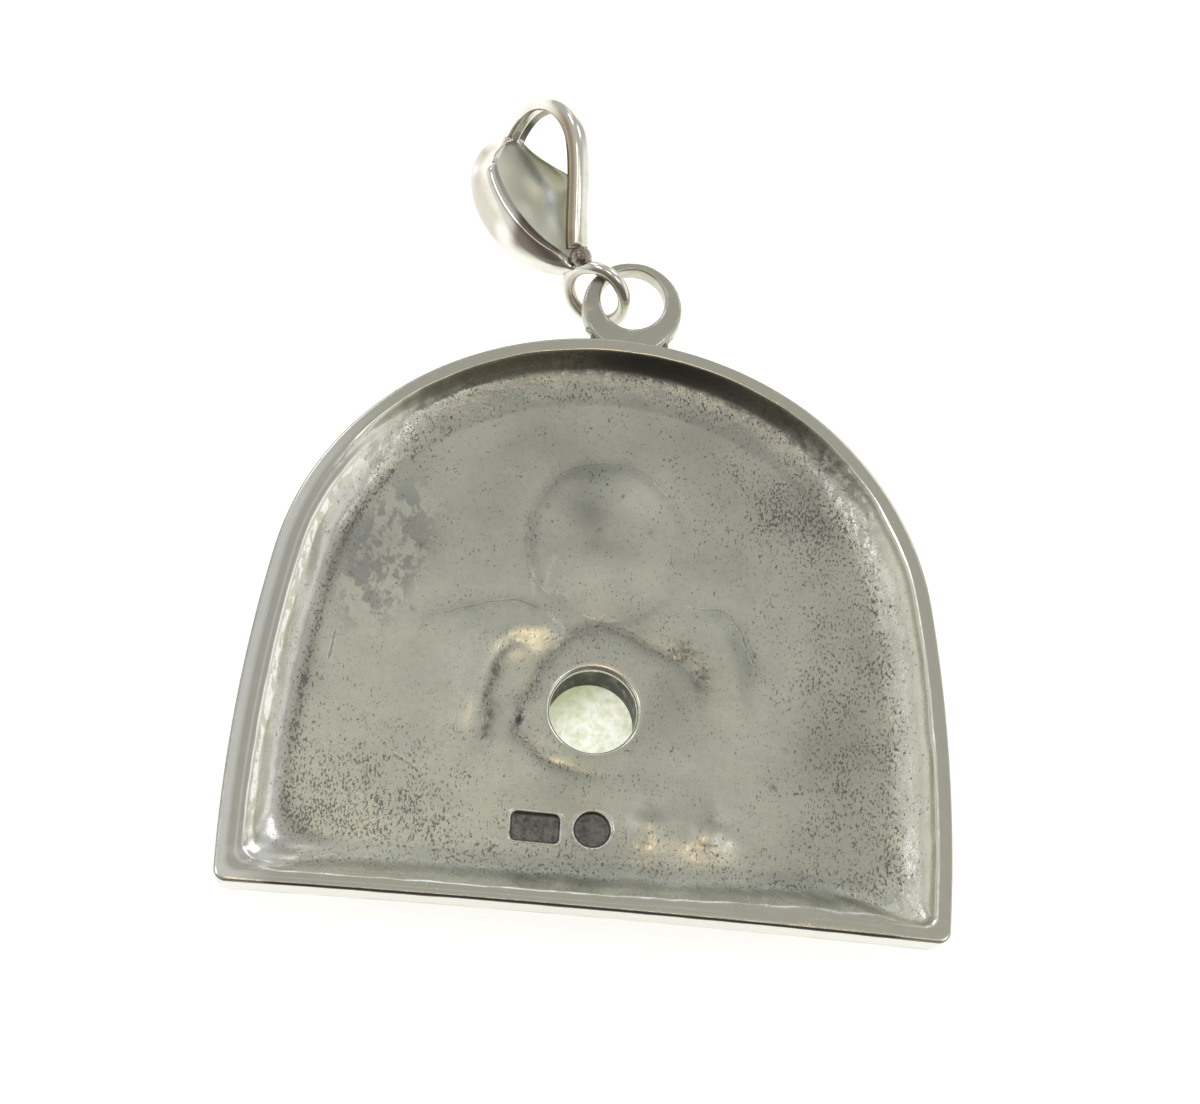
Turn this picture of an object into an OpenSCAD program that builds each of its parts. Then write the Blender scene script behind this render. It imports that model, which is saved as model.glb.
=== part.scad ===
// Arched silver pendant with a knight in relief, a round stone, and a leaf bail on a soldered loop.
// It lies face down: the hollow back looks up along +Z, the relief looks down, the bail is towards +Y.
// The foot of the plaque runs along X. All sizes are in millimetres.

/* [Plaque] */
// Width of the plaque across its straight foot
plaque_w = 30; // [27:0.5:33]
// Outward lean of the sides at the foot, in degrees
side_lean = 1.8; // [0:0.1:3]
// Radius of the long side curves
side_r = 69.7; // [60:0.1:80]
// Heading where the side curve meets the shoulder curve, in degrees
side_end = 10.3; // [8:0.1:12]
// Radius of the shoulder curves
shoulder_r = 13.37; // [12:0.01:14.5]
// Heading where the shoulder curve meets the top curve, in degrees
shoulder_end = 59.3; // [55:0.1:63]
// Radius of the two corners at the foot
corner_r = 0.5; // [0.3:0.05:0.6]
// How far the middle of the foot is bowed inwards
foot_bow = 0.15; // [0.05:0.05:0.4]
// Height of the outer wall
wall_h = 1.63; // [1.4:0.01:2]
// How far the wall draws in from the back to the front
wall_draft = 0.12; // [0:0.01:0.2]
// Width of the flat rim round the hollow back
rim_w = 0.6; // [0.5:0.01:0.8]
// Depth of the hollow back below the rim
hollow_d = 1.1; // [1.06:0.01:1.2]
// Radius of the fillet round the floor of the hollow
hollow_fillet = 1.05; // [0.7:0.05:1.05]
// Width of the raised border round the front
border_w = 0.9; // [0.6:0.05:1.2]
// Height of the raised border over the front field
border_h = 0.16; // [0.05:0.01:0.25]

/* [Relief] */
// Height of the highest points of the knight over the border
relief_h = 2.57; // [2.5:0.01:2.7]
// Height of the helm's middle along the plaque
helm_y = 16.5; // [16:0.1:17]
// Half width of the helm
helm_rx = 3.2; // [2.8:0.1:3.6]
// Height of the shoulder plates' middle along the plaque
shoulder_y = 11.3; // [11:0.1:11.8]
// Distance of each shoulder plate from the middle line
shoulder_x = 7.3; // [7:0.1:7.8]
// Height of the low swells in the hollow, behind the helm and the arms
swell_h = 0.26; // [0.1:0.02:0.3]

/* [Stone] */
// Radius of the round stone
stone_r = 3; // [2.8:0.05:3.2]
// Thickness of the stone from its flat back to its top
stone_h = 1.1; // [1:0.05:1.15]
// Height of the stone's middle along the plaque
stone_y = 9.1; // [8.9:0.01:9.3]
// Sideways place of the stone's middle
stone_x = -0.05; // [-0.3:0.01:0.1]
// Radius of the hole behind the stone
hole_r = 1.83; // [1.6:0.01:2]
// Length of the hole behind the stone
hole_d = 1.9; // [1.8:0.01:1.95]
// Gap between the stone and its seat
stone_gap = 0.03; // [0.02:0.01:0.05]
// Wall of the bezel round the stone
bezel_wall = 0.4; // [0.3:0.05:0.5]

/* [Loop] */
// Radius of the hole in the flat loop
loop_hole_r = 1.4; // [1.35:0.01:1.45]
// Outer radius of the flat loop
loop_r = 2.17; // [2.1:0.01:2.25]
// Thickness of the flat loop
loop_t = 0.87; // [0.7:0.01:0.9]
// Sideways place of the loop
loop_x = 0.45; // [0.3:0.01:0.6]
// Height of the loop's outer circle along the plaque
loop_y = 27.5; // [27.4:0.01:27.6]
// How much higher the hole sits than the outer circle
loop_hole_up = 0.4; // [0.35:0.01:0.45]

/* [Bail] */
// Half width of the leaf at its widest
leaf_w = 2.59; // [2.4:0.01:2.65]
// Depth of the leaf at its deepest
leaf_d = 3.23; // [3:0.01:3.25]
// Width of the strap
strap_w = 0.92; // [0.85:0.01:1]
// Thickness of the strap and of the leaf's wall
strap_t = 0.58; // [0.5:0.01:0.6]
// Radius of the ring's middle line
ring_r = 1.35; // [1.33:0.01:1.36]
// Radius of the ring's wire
wire_r = 0.27; // [0.22:0.01:0.28]

/* [Hidden] */
eps = 0.01;

back_z = wall_h + relief_h;
front_z = relief_h;
floor_z = back_z - hollow_d;
seat_z = floor_z - hole_d;
bezel_lip_z = 0.5;
loop_hole_y = loop_y + loop_hole_up;

// The part is centred on its whole length, from the foot to the crown of the bail.
length_mid_y = 18.74;

// Outline: each side is three arcs that run on into each other, and the foot is a flat arc.
side_c = [plaque_w/2 - side_r*cos(side_lean), side_r*sin(side_lean)];
side_top = side_c + side_r*[cos(side_end), sin(side_end)];
shoulder_c = side_top - shoulder_r*[cos(side_end), sin(side_end)];
shoulder_top = shoulder_c + shoulder_r*[cos(shoulder_end), sin(shoulder_end)];
top_r = shoulder_top.x/cos(shoulder_end);
top_c = [0, shoulder_top.y - top_r*sin(shoulder_end)];
foot_r = (pow(plaque_w/2, 2) + pow(foot_bow, 2))/(2*foot_bow);
foot_half = asin(plaque_w/2/foot_r);

// Points of an arc moved inwards by d, from angle a to angle b in n steps, without the last point
function arc(c, r, a, b, n, d) =
    [for (i = [0:n - 1]) let (t = a + (b - a)*i/n) c + (r - d)*[cos(t), sin(t)]];

// Rounded corner at the right end of the foot, moved inwards by d
function corner(d) =
    let (y = d + corner_r, side_x = side_c.x + sqrt(pow(side_r - d, 2) - pow(y - side_c.y, 2)))
    arc([side_x - corner_r, y], corner_r, -90, 0, 4, 0);

// Right side of the outline, from the foot to the crown, moved inwards by d
function right_side(d) =
    let (side = arc(side_c, side_r, -side_lean, side_end, 6, d))
    concat(
        corner(d),
        [for (i = [1:5]) side[i]],
        arc(shoulder_c, shoulder_r, side_end, shoulder_end, 12, d),
        arc(top_c, top_r, shoulder_end, 90, 7, d)
    );

// Whole outline moved inwards by d, anticlockwise from the right end of the foot
function outline(d = 0) =
    let (right = right_side(d), n = len(right))
    concat(
        right,
        [[0, top_c.y + top_r - d]],
        [for (i = [n - 1:-1:0]) [-right[i].x, right[i].y]],
        [for (i = [1:5]) let (t = foot_half*(i/3 - 1))
            [(foot_r + d)*sin(t)*(plaque_w/2 - d)/(plaque_w/2), d + foot_r*cos(t) - foot_r*cos(foot_half)]]
    );

// Mean of the points of a ring
function middle(ring) = [for (p = ring) 1]*ring/len(ring);

// A solid through closed rings of points, all with as many points, from the lowest ring up
module skin(rings) {
    n = len(rings[0]);
    m = len(rings);
    points = concat([for (ring = rings) each ring], [middle(rings[0]), middle(rings[m - 1])]);
    sides = [for (j = [0:m - 2], i = [0:n - 1], half = [0, 1])
        let (a = j*n + i, b = j*n + (i + 1)%n)
        half == 0 ? [a, a + n, b + n] : [a, b + n, b]];
    low = [for (i = [0:n - 1]) [m*n, i, (i + 1)%n]];
    high = [for (i = [0:n - 1]) [m*n + 1, (m - 1)*n + (i + 1)%n, (m - 1)*n + i]];
    polyhedron(points, concat(sides, low, high), convexity = 4);
}

// A ring of the outline at height z, moved inwards by d
function level(d, z) = [for (p = outline(d)) [p.x, p.y, z]];

// An oval dome on the front, centred at x and y, that stands h over the border
module pad(x, y, rx, ry, h, fn = 28) {
    translate([x, y, front_z]) scale([rx, ry, h]) sphere(1, $fn = fn);
}

// A round-backed limb between two oval domes p and q, each [x, y, radius, height]
module limb(p, q, fn = 20) {
    hull() {
        pad(p[0], p[1], p[2], p[2], p[3], fn);
        pad(q[0], q[1], q[2], q[2], q[3], fn);
    }
}

// The same form on the left and on the right
module both_sides() {
    children();
    mirror([1, 0, 0]) children();
}

module wall_and_web() {
    difference() {
        skin([level(wall_draft + 0.1, front_z), level(wall_draft, front_z + 0.1), level(0, back_z)]);
        hollow();
        skin([level(border_w, front_z - eps), level(border_w + 0.15, front_z + border_h)]);
    }
}

// The hollow back: a short upright wall, then a fillet down to the flat floor
module hollow() {
    steps = 5;
    skin(concat(
        [for (i = [0:steps]) let (t = 90*i/steps)
            level(rim_w + hollow_fillet*(1 - sin(t)), floor_z + hollow_fillet*(1 - cos(t)))],
        [level(rim_w, back_z + eps)]
    ));
}

module helm() {
    difference() {
        union() {
            hull() {
                pad(0, helm_y - 1.7, helm_rx*0.86, 2.1, relief_h*0.8);
                pad(0, helm_y + 0.9, helm_rx, 2.9, relief_h*0.9);
            }
            limb([0, helm_y - 3.2, 0.34, relief_h], [0, helm_y + 3.1, 0.34, relief_h], 16);
        }
        both_sides() translate([0.55, helm_y + 0.4, 0]) cube([2.1, 0.36, front_z - relief_h*0.45]);
    }
}

module body() {
    pad(0, 7.6, 7.2, 6.9, relief_h*0.66, 36);
    pad(0, 12.9, 5.3, 2.6, relief_h*0.6);
    both_sides() {
        limb([shoulder_x + 0.7, shoulder_y - 0.3, 3.2, relief_h*0.4], [10, 2.4, 3, relief_h*0.36]);
        pad(shoulder_x, shoulder_y, 3.3, 2.5, relief_h);
        pad(shoulder_x + 1.2, shoulder_y - 2.4, 2.7, 2, relief_h*0.84);
        limb([8.9, 8.2, 1.9, relief_h*0.7], [8.3, 3.9, 1.7, relief_h*0.7]);
        pad(8.2, 3.7, 1.9, 1.9, relief_h*0.88);
        limb([8, 3.8, 1.3, relief_h*0.82], [5.1, 6.4, 1.1, relief_h*0.8]);
        limb([4.5, 7.2, 1.1, relief_h*0.86], [3.9, 8.9, 0.9, relief_h*0.8]);
    }
    limb([-6.2, 2, 0.95, relief_h*0.7], [6.2, 2, 0.95, relief_h*0.7]);
    translate([-1.1, 1.1, front_z - relief_h*0.8]) cube([2.2, 1.8, relief_h*0.8]);
}

// The relief is kept inside the border and out of the hollow back.
module relief() {
    intersection() {
        union() {
            helm();
            body();
        }
        skin([level(border_w*0.9, -eps), level(border_w*0.9, front_z + border_h + 0.1)]);
    }
}

// A low oval swell on the floor of the hollow, centred at x and y, h high
module swell(x, y, rx, ry, h, fn = 20) {
    translate([x, y, floor_z]) scale([rx, ry, h]) sphere(1, $fn = fn);
}

left_arm = [[-2.6, 12.6], [-4.4, 11.8], [-5.1, 10.2], [-5, 7.8]];
right_arm = [[2.2, 12.8], [4.3, 12.8], [5.3, 11.3], [5.4, 9.2]];

// Swells behind the helm, the arms and the belt
module swells() {
    swell(0.07, helm_y + 0.25, 3.5, 3.65, swell_h, 32);
    for (i = [0:2]) {
        hull() for (p = [left_arm[i], left_arm[i + 1]]) swell(p.x, p.y, 0.95, 0.95, swell_h*0.9);
        hull() for (p = [right_arm[i], right_arm[i + 1]]) swell(p.x, p.y, 1.25, 1.25, swell_h);
    }
    swell(2.55, 3.72, 0.85, 0.8, swell_h*0.7);
    swell(4.85, 3.6, 0.95, 0.85, swell_h*0.75);
}

// Two plain sunk marks in the floor of the hollow
module sunk_marks() {
    translate([-3.2, 3.15, floor_z - 0.12]) cube([2.1, 1.3, 1]);
    translate([0.2, 3.86, floor_z - 0.12]) cylinder(h = 1, r = 0.75, $fn = 24);
}

module flat_loop() {
    translate([loop_x, loop_y, back_z - loop_t]) cylinder(h = loop_t, r = loop_r, $fn = 64);
}

module plaque() {
    color("silver") translate([0, -length_mid_y, 0]) difference() {
        union() {
            wall_and_web();
            relief();
            swells();
            flat_loop();
            translate([stone_x, stone_y, bezel_lip_z])
                cylinder(h = floor_z - bezel_lip_z - 0.05, r = stone_r + bezel_wall, $fn = 56);
        }
        sunk_marks();
        translate([stone_x, stone_y, -1])
            cylinder(h = seat_z + 1, r = stone_r + stone_gap, $fn = 56);
        translate([stone_x, stone_y, 0]) cylinder(h = back_z, r = hole_r, $fn = 48);
        translate([loop_x, loop_hole_y, back_z - loop_t - eps])
            cylinder(h = loop_t + 2*eps, r = loop_hole_r, $fn = 48);
    }
}

// A cabochon: flat back up, a short girdle and a domed face down
module stone() {
    girdle = 0.3;
    dome = stone_h - girdle;
    dome_r = (pow(stone_r, 2) + pow(dome, 2))/(2*dome);
    top_z = seat_z - stone_gap - stone_h;
    color([0.72, 0.8, 0.62]) translate([stone_x, stone_y - length_mid_y, top_z]) intersection() {
        cylinder(h = stone_h, r = stone_r, $fn = 64);
        translate([0, 0, dome_r]) sphere(dome_r, $fn = 96);
    }
}

// Bail: one strip bent round from the ring, up as the strap, over the crown and down as the leaf.
// Its middle line lies in a plane: [back, up] from the joint, as three Bezier curves end to end.
bail_curves = [
    [[0.01, 0.31], [0.18, 2.18], [0.99, 4.31], [0.59, 5.7]],
    [[0.59, 5.7], [0.13, 7.28], [-1.94, 8.65], [-3.86, 6.9]],
    [[-3.86, 6.9], [-6.69, 4.32], [-3.24, -0.45], [-0.38, -0.27]]
];
curve_steps = [7, 11, 20];

function bezier(c, t) =
    pow(1 - t, 3)*c[0] + 3*pow(1 - t, 2)*t*c[1] + 3*(1 - t)*t*t*c[2] + pow(t, 3)*c[3];
function heading(c, t) =
    let (v = pow(1 - t, 2)*(c[1] - c[0]) + 2*(1 - t)*t*(c[2] - c[1]) + t*t*(c[3] - c[2])) v/norm(v);

// How far the strip is opened into the leaf at t along the third curve, from 0 to 1
function leaf_open(t) = pow(sin(180*pow(t, 0.6)), 0.75);

// One section of the strip at t along curve k: the outer side from edge to edge, then the inner side
function strip_section(k, t) =
    let (
        p = bezier(bail_curves[k], t),
        h = heading(bail_curves[k], t),
        inward = [-h.y, h.x],
        open = k == 2 ? leaf_open(t) : 0,
        w = strap_w/2 + (leaf_w - strap_w/2)*open,
        d = strap_t + (leaf_d - strap_t)*open,
        bow = function (u) 1 - pow(1 - pow(abs(u), 3), 1/3)
    )
    concat(
        [for (u = [1, 0.94, 0.75, 0.4, 0, -0.4, -0.75, -0.94, -1])
            let (q = p + inward*(d*bow(u) - strap_t/2)) [w*u, q.x, q.y]],
        [for (u = [-0.98, -0.8, -0.4, 0, 0.4, 0.8, 0.98])
            let (q = p + inward*(strap_t/2 + (d - strap_t)*bow(u))) [(w - 0.2)*u, q.x, q.y]]
    );

// The sections of the leaf lie closer together near its tip, where it opens fast.
module strip() {
    skin([for (k = [0:2], i = [0:curve_steps[k]]) if (k == 0 || i > 0)
        strip_section(k, pow(i/curve_steps[k], k == 2 ? 1.6 : 1))]);
}

// Directions of the bail as it lies: across the leaf, towards the strap, and from the ring to the crown
bail_across = [0.813, 0.210, -0.543];
bail_back = [0.558, -0.016, 0.830];
bail_up = [-0.165, 0.978, 0.130];
joint = [-2, 29.59, back_z + 0.26];

// The ring passes through the flat loop: its middle and the direction that it faces
ring_c = [-1.11, 28.37, back_z - 0.86];
ring_axis = [-0.429, -0.814, 0.392];

// The wire of the ring, six-sided, swept round as a closed tube
module ring() {
    steps = 28;
    sides = 6;
    points = [for (i = [0:steps - 1], j = [0:sides - 1])
        let (a = 360*i/steps, b = 360*j/sides, r = ring_r + wire_r*cos(b))
        [r*cos(a), r*sin(a), wire_r*sin(b)]];
    faces = [for (i = [0:steps - 1], j = [0:sides - 1])
        let (i2 = (i + 1)%steps, j2 = (j + 1)%sides)
        [i*sides + j, i2*sides + j, i2*sides + j2, i*sides + j2]];
    polyhedron(points, [for (f = faces) [f[3], f[2], f[1], f[0]]], convexity = 4);
}

// Turns +Z to the given direction
module facing(axis) {
    rotate([0, acos(axis.z), atan2(axis.y, axis.x)]) children();
}

module bail() {
    joint_foot = ring_c + ring_r*(joint - ring_c)/norm(joint - ring_c);
    color("lightgray") translate([0, -length_mid_y, 0]) {
        multmatrix([
            [bail_across.x, bail_back.x, bail_up.x, joint.x],
            [bail_across.y, bail_back.y, bail_up.y, joint.y],
            [bail_across.z, bail_back.z, bail_up.z, joint.z],
            [0, 0, 0, 1]
        ]) strip();
        translate(ring_c) facing(ring_axis) ring();
        hull() {
            translate(joint) sphere(0.46, $fn = 14);
            translate(joint_foot) sphere(0.3, $fn = 14);
        }
    }
}

plaque();
stone();
bail();
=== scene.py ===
import math
from functools import partial, reduce

import bpy
import numpy as np
from bpy.props import FloatProperty, FloatVectorProperty, PointerProperty
from bpy.types import Operator, Panel, PropertyGroup
from mathutils import Matrix, Vector


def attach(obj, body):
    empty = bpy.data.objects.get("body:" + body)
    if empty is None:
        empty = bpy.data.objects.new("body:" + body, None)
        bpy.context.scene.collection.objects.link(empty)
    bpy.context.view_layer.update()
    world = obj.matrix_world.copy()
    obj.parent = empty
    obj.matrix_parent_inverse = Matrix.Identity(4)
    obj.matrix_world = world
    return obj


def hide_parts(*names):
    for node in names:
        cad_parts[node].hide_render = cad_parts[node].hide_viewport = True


bl_info = {
    "name": "Knight pendant",
    "version": (1, 0, 0),
    "blender": (4, 5, 0),
    "location": "3D View > Sidebar > Pendant",
    "description": "Dresses the packed knight pendant: cast plaque, soldered loop, stone and leaf bail",
    "category": "Object",
}

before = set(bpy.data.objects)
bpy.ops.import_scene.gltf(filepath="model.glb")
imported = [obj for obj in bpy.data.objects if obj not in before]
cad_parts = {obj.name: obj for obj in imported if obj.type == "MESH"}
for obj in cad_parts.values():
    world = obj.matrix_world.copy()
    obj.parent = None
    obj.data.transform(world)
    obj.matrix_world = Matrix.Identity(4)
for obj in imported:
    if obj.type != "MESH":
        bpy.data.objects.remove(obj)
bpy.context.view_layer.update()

# Surfaces are worked out in millimetres: x to the right, y up from the foot of the plaque, z up from the
# floor. Then the middle of the whole length, and the heights of the back's rim, the border and the seat
MM = 0.001
LENGTH_MID_Y = 18.74
BACK_Z = 4.2
FRONT_Z = 2.57
SEAT_Z = 1.2

# The plaque's outline, as in the solid: arcs of the side, the shoulder and the top, and a foot bowed inwards
SIDE_R = 69.7
SIDE_END = math.radians(10.3)
SHOULDER_R = 13.37
SHOULDER_END = math.radians(59.3)
FOOT_BOW = 0.15
SIDE_C = (15 - SIDE_R * math.cos(math.radians(1.8)), SIDE_R * math.sin(math.radians(1.8)))
SHOULDER_C = (
    SIDE_C[0] + (SIDE_R - SHOULDER_R) * math.cos(SIDE_END),
    SIDE_C[1] + (SIDE_R - SHOULDER_R) * math.sin(SIDE_END),
)
TOP_R = SHOULDER_C[0] / math.cos(SHOULDER_END) + SHOULDER_R
TOP_C_Y = SHOULDER_C[1] - (TOP_R - SHOULDER_R) * math.sin(SHOULDER_END)
STONE_C = (-0.05, 9.1)

# Stations round the outline: corner, side, shoulder and top of each half, then the foot
CORNER, SIDE, SHOULDER, TOP, FOOT = range(5)
HALF_COUNTS = ((CORNER, 10), (SIDE, 52), (SHOULDER, 50), (TOP, 36))
FOOT_COUNT = 128


def stations():
    """Part of the outline, share along it and side of the middle line, for each station round the ring."""
    part = np.concatenate([np.full(n, p) for p, n in HALF_COUNTS])
    share = np.concatenate([np.arange(n) / n for _, n in HALF_COUNTS])
    crown = np.array([1.0])
    foot = np.arange(1, FOOT_COUNT) / FOOT_COUNT * 2 - 1
    return (
        np.concatenate([part, [TOP], part[::-1], np.full(foot.size, FOOT)]),
        np.concatenate([share, crown, share[::-1], foot]),
        np.concatenate([np.ones(part.size + 1), -np.ones(part.size), np.ones(foot.size)]),
    )


PART, SHARE, HAND = stations()


def outline(inset, corner):
    """Points of the outline moved inwards by inset, for every station.

    Each half is a corner arc that touches the side arc, then the side, shoulder and top arcs about fixed
    centres, with the inset taken off each radius. The foot runs straight between the corners, bowed inwards
    as a parabola.
    """
    low = inset + corner
    reach = SIDE_R - inset - corner
    rise = (low - SIDE_C[1]) / reach
    first = np.arcsin(rise)
    corner_x = SIDE_C[0] + reach * np.sqrt(1 - rise**2)
    where = [PART == CORNER, PART == SIDE, PART == SHOULDER]
    turns = [
        -np.pi / 2 + SHARE * (first + np.pi / 2),
        first + SHARE * (SIDE_END - first),
        SIDE_END + SHARE * (SHOULDER_END - SIDE_END),
    ]
    turn = np.select(where, turns, SHOULDER_END + SHARE * (np.pi / 2 - SHOULDER_END))
    zero = np.zeros_like(turn)
    radius = np.select(where, [corner + zero, SIDE_R - inset, SHOULDER_R - inset], TOP_R - inset)
    centre_x = np.select(where, [corner_x + zero, SIDE_C[0] + zero, SHOULDER_C[0] + zero], 0)
    centre_y = np.select(where, [low + zero, SIDE_C[1] + zero, SHOULDER_C[1] + zero], TOP_C_Y)
    x = HAND * (centre_x + radius * np.cos(turn))
    y = centre_y + radius * np.sin(turn)
    foot = PART == FOOT
    return (
        np.where(foot, corner_x * SHARE, x),
        np.where(foot, inset + FOOT_BOW * (1 - SHARE**2), y),
    )


def waves(x, y, size, seed, count=16):
    """Smooth noise of about unit height: a sum of sine waves in random directions, with lengths near size."""
    rng = np.random.default_rng(seed)
    angle = rng.uniform(0, 2 * np.pi, count)
    spacing = size * rng.uniform(0.6, 1.8, count)
    phase = rng.uniform(0, 2 * np.pi, count)
    total = np.zeros(np.broadcast(x, y).shape)
    for a, s, p in zip(angle, spacing, phase):
        total += np.sin((x * np.cos(a) + y * np.sin(a)) * 2 * np.pi / s + p)
    return total * math.sqrt(2 / count)


def smooth(value, low, high):
    """0 below low, 1 above high, and an eased step between."""
    t = np.clip((value - low) / (high - low), 0, 1)
    return t * t * (3 - 2 * t)


def fall(value, low, high):
    """1 below low, 0 above high, and an eased step between."""
    return 1 - smooth(value, low, high)


def band(value, low, full, bend, high):
    """0 below low, 1 from full to bend and 0 above high, with eased sides."""
    return smooth(value, low, full) * fall(value, bend, high)


def bell(value, width):
    """A bell curve, 1 where value is 0: exp(-(value / width)^2)."""
    return np.exp(-((value / width) ** 2))


def spot(x, y, cx, cy, rx, ry):
    """A soft oval spot, 1 at its middle: exp(-q^2), q the oval's own distance."""
    return np.exp(-(((x - cx) / rx) ** 2) - ((y - cy) / ry) ** 2)


def patches(x, y, table):
    """The sum of soft oval spots, each given by its strength, middle and reach."""
    return sum(strength * spot(x, y, *place) for strength, *place in table)


def ball(q):
    """A round back, 1 where q is 0 and 0 from q = 1 on: (1 - q^2)^(1/2)."""
    return np.sqrt(np.clip(1 - q**2, 0, 1))


def dome(x, y, cx, cy, rx, ry):
    """A round-backed oval, 1 at its middle and 0 from its edge on."""
    return ball(np.hypot((x - cx) / rx, (y - cy) / ry))


def near_path(x, y, path):
    """Distance to a chain of straight pieces, the share along it, and the side: positive on its left."""
    best = np.full(np.broadcast(x, y).shape, 1e9)
    share = np.zeros_like(best)
    side = np.zeros_like(best)
    path = np.asarray(path, float)
    lengths = np.linalg.norm(np.diff(path, axis=0), axis=1)
    before = np.concatenate([[0], np.cumsum(lengths)])
    for i, reach in enumerate(lengths):
        step = (path[i + 1] - path[i]) / reach
        along = np.clip((x - path[i, 0]) * step[0] + (y - path[i, 1]) * step[1], 0, reach)
        dx = x - path[i, 0] - along * step[0]
        dy = y - path[i, 1] - along * step[1]
        gap = np.hypot(dx, dy)
        closer = gap < best
        best = np.where(closer, gap, best)
        share = np.where(closer, (before[i] + along) / before[-1], share)
        side = np.where(closer, np.sign(step[0] * dy - step[1] * dx), side)
    return best, share, side


def limb(x, y, p, q):
    """Height of a round-backed limb between two ends of x, y, radius and height, and the share along it."""
    step = np.array([q[0] - p[0], q[1] - p[1]])
    share = np.clip(((x - p[0]) * step[0] + (y - p[1]) * step[1]) / (step @ step), 0, 1)
    gap = np.hypot(x - p[0] - share * step[0], y - p[1] - share * step[1])
    radius = p[2] + (q[2] - p[2]) * share
    height = p[3] + (q[3] - p[3]) * share
    return height * ball(gap / radius), share


def both(x, form):
    """The higher of a form on the right and its mirror image on the left."""
    return np.maximum(form(x), form(-x))


# Contour of the cast boss round the stone's hole: heading in degrees and radius
BOSS = np.array([
    [-180, 2.95], [-170, 3.1], [-159, 3.4], [-147, 3.3], [-127, 3.0], [-104, 2.75], [-60, 3.1], [-20, 4.0],
    [3, 4.4], [14, 4.7], [28, 4.5], [46, 3.85], [64, 3.65], [87, 3.72], [107, 3.55], [133, 2.87], [165, 2.75],
    [180, 2.95],
])
# How clearly the boss is set off at each heading
BOSS_SEAM = np.array([[-180, 1], [-120, 1], [-95, 0.4], [-70, 0], [-5, 0], [20, 0.4], [60, 1], [180, 1]])

# Middle and radii of the swell behind the helm, and the paths of the creases, in mm
HEAD_C = (0.07, 16.75)
HEAD_R = (3.5, 3.65)
CHEEK_FOLDS = (
    ((-2.95, 15.2), (-2.98, 14.7), (-2.9, 14.15)),
    ((-2.1, 15.85), (-2.35, 15.0), (-2.45, 14.3), (-1.4, 14.2)),
)
CREASE = ((-8.6, 12.2), (-6.3, 13.0), (-4.29, 13.65), (-3.01, 13.6), (-2.4, 13.2))
LEFT_ARM = ((-2.3, 12.75), (-3.5, 12.5), (-4.5, 11.6), (-5.1, 10.2), (-5.15, 8.6), (-4.95, 7.5))
ARM_GROOVE = ((-2.6, 12.0), (-3.7, 11.8), (-4.35, 10.9), (-4.6, 9.6), (-4.6, 8.3), (-4.68, 7.25))
RIGHT_ARM = ((1.2, 12.7), (3.4, 13.2), (4.7, 12.85), (5.35, 11.7), (5.5, 10.2), (5.3, 8.6))
SCRATCHES = ((((-11.0, 11.9), (-11.25, 10.0)), 0.5), (((-8.4, 6.5), (-6.9, 5.65)), 0.45))

# Small dents beside the hole: middle, radius and height; swells behind the belt: middle, reach and height
DENTS = ((-1.86, 6.8, 0.33, 0.03), (-3.15, 8.4, 0.3, -0.06), (-2.62, 7.5, 0.5, 0.02))
BELT_SWELLS = ((2.5, 3.8, 0.85, 0.19), (5.05, 3.6, 1.05, 0.27))

# Patches of painted shade, and of painted light where the strength is below 0, and patches with a
# darkened skin: strength, middle and reach
DIM_PATCHES = (
    (0.24, 8.5, 19.0, 3.4, 3.0), (-0.48, -7.5, 8, 3.5, 5.5), (-0.4, -11.5, 4.5, 3, 3),
    (0.5, -0.85, 17.9, 0.75, 0.9), (0.35, -0.9, 19.9, 0.6, 0.5), (0.3, -0.3, 16.5, 1.5, 0.5),
    (-0.35, 1.3, 18.9, 1.1, 0.8), (-0.22, 1.1, 14.9, 2.2, 0.9), (0.3, -5.1, 6.5, 0.8, 1.0),
    (0.22, 3.2, 9.3, 1.3, 1.8),
)
PIT_DARK = 0.9
PITS = (
    (7.6, 6.4, 0.16), (8.05, 8.1, 0.1), (-7.83, 15.82, 0.15), (-2.55, 18.2, 0.12), (-0.3, 17.2, 0.1),
    (1.9, 17.4, 0.1), (6.6, 12.2, 0.12), (5.2, 17.9, 0.09), (-10.6, 14.2, 0.12), (-7.9, 12.9, 0.12),
    (2.3, 19.1, 0.08), (0.6, 18.9, 0.08),
)
DARK_PATCHES = (
    (0.8, 3.55, 12.1, 0.6, 0.5), (0.7, 4.4, 11.0, 0.4, 0.75), (0.8, -3.12, 8.45, 0.2, 0.25),
    (4, 10.97, 20.43, 0.16, 0.3), *((PIT_DARK, cx, cy, r, r) for cx, cy, r in PITS),
)

# Depth of the hollow; middles and depth of its two plain sunk marks, a rounded oblong and a circle
HOLLOW_DEPTH = 1.1
OBLONG_C = (-2.15, 3.77)
CIRCLE_C = (0.21, 3.9)
MARK_DEPTH = 0.14


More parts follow.
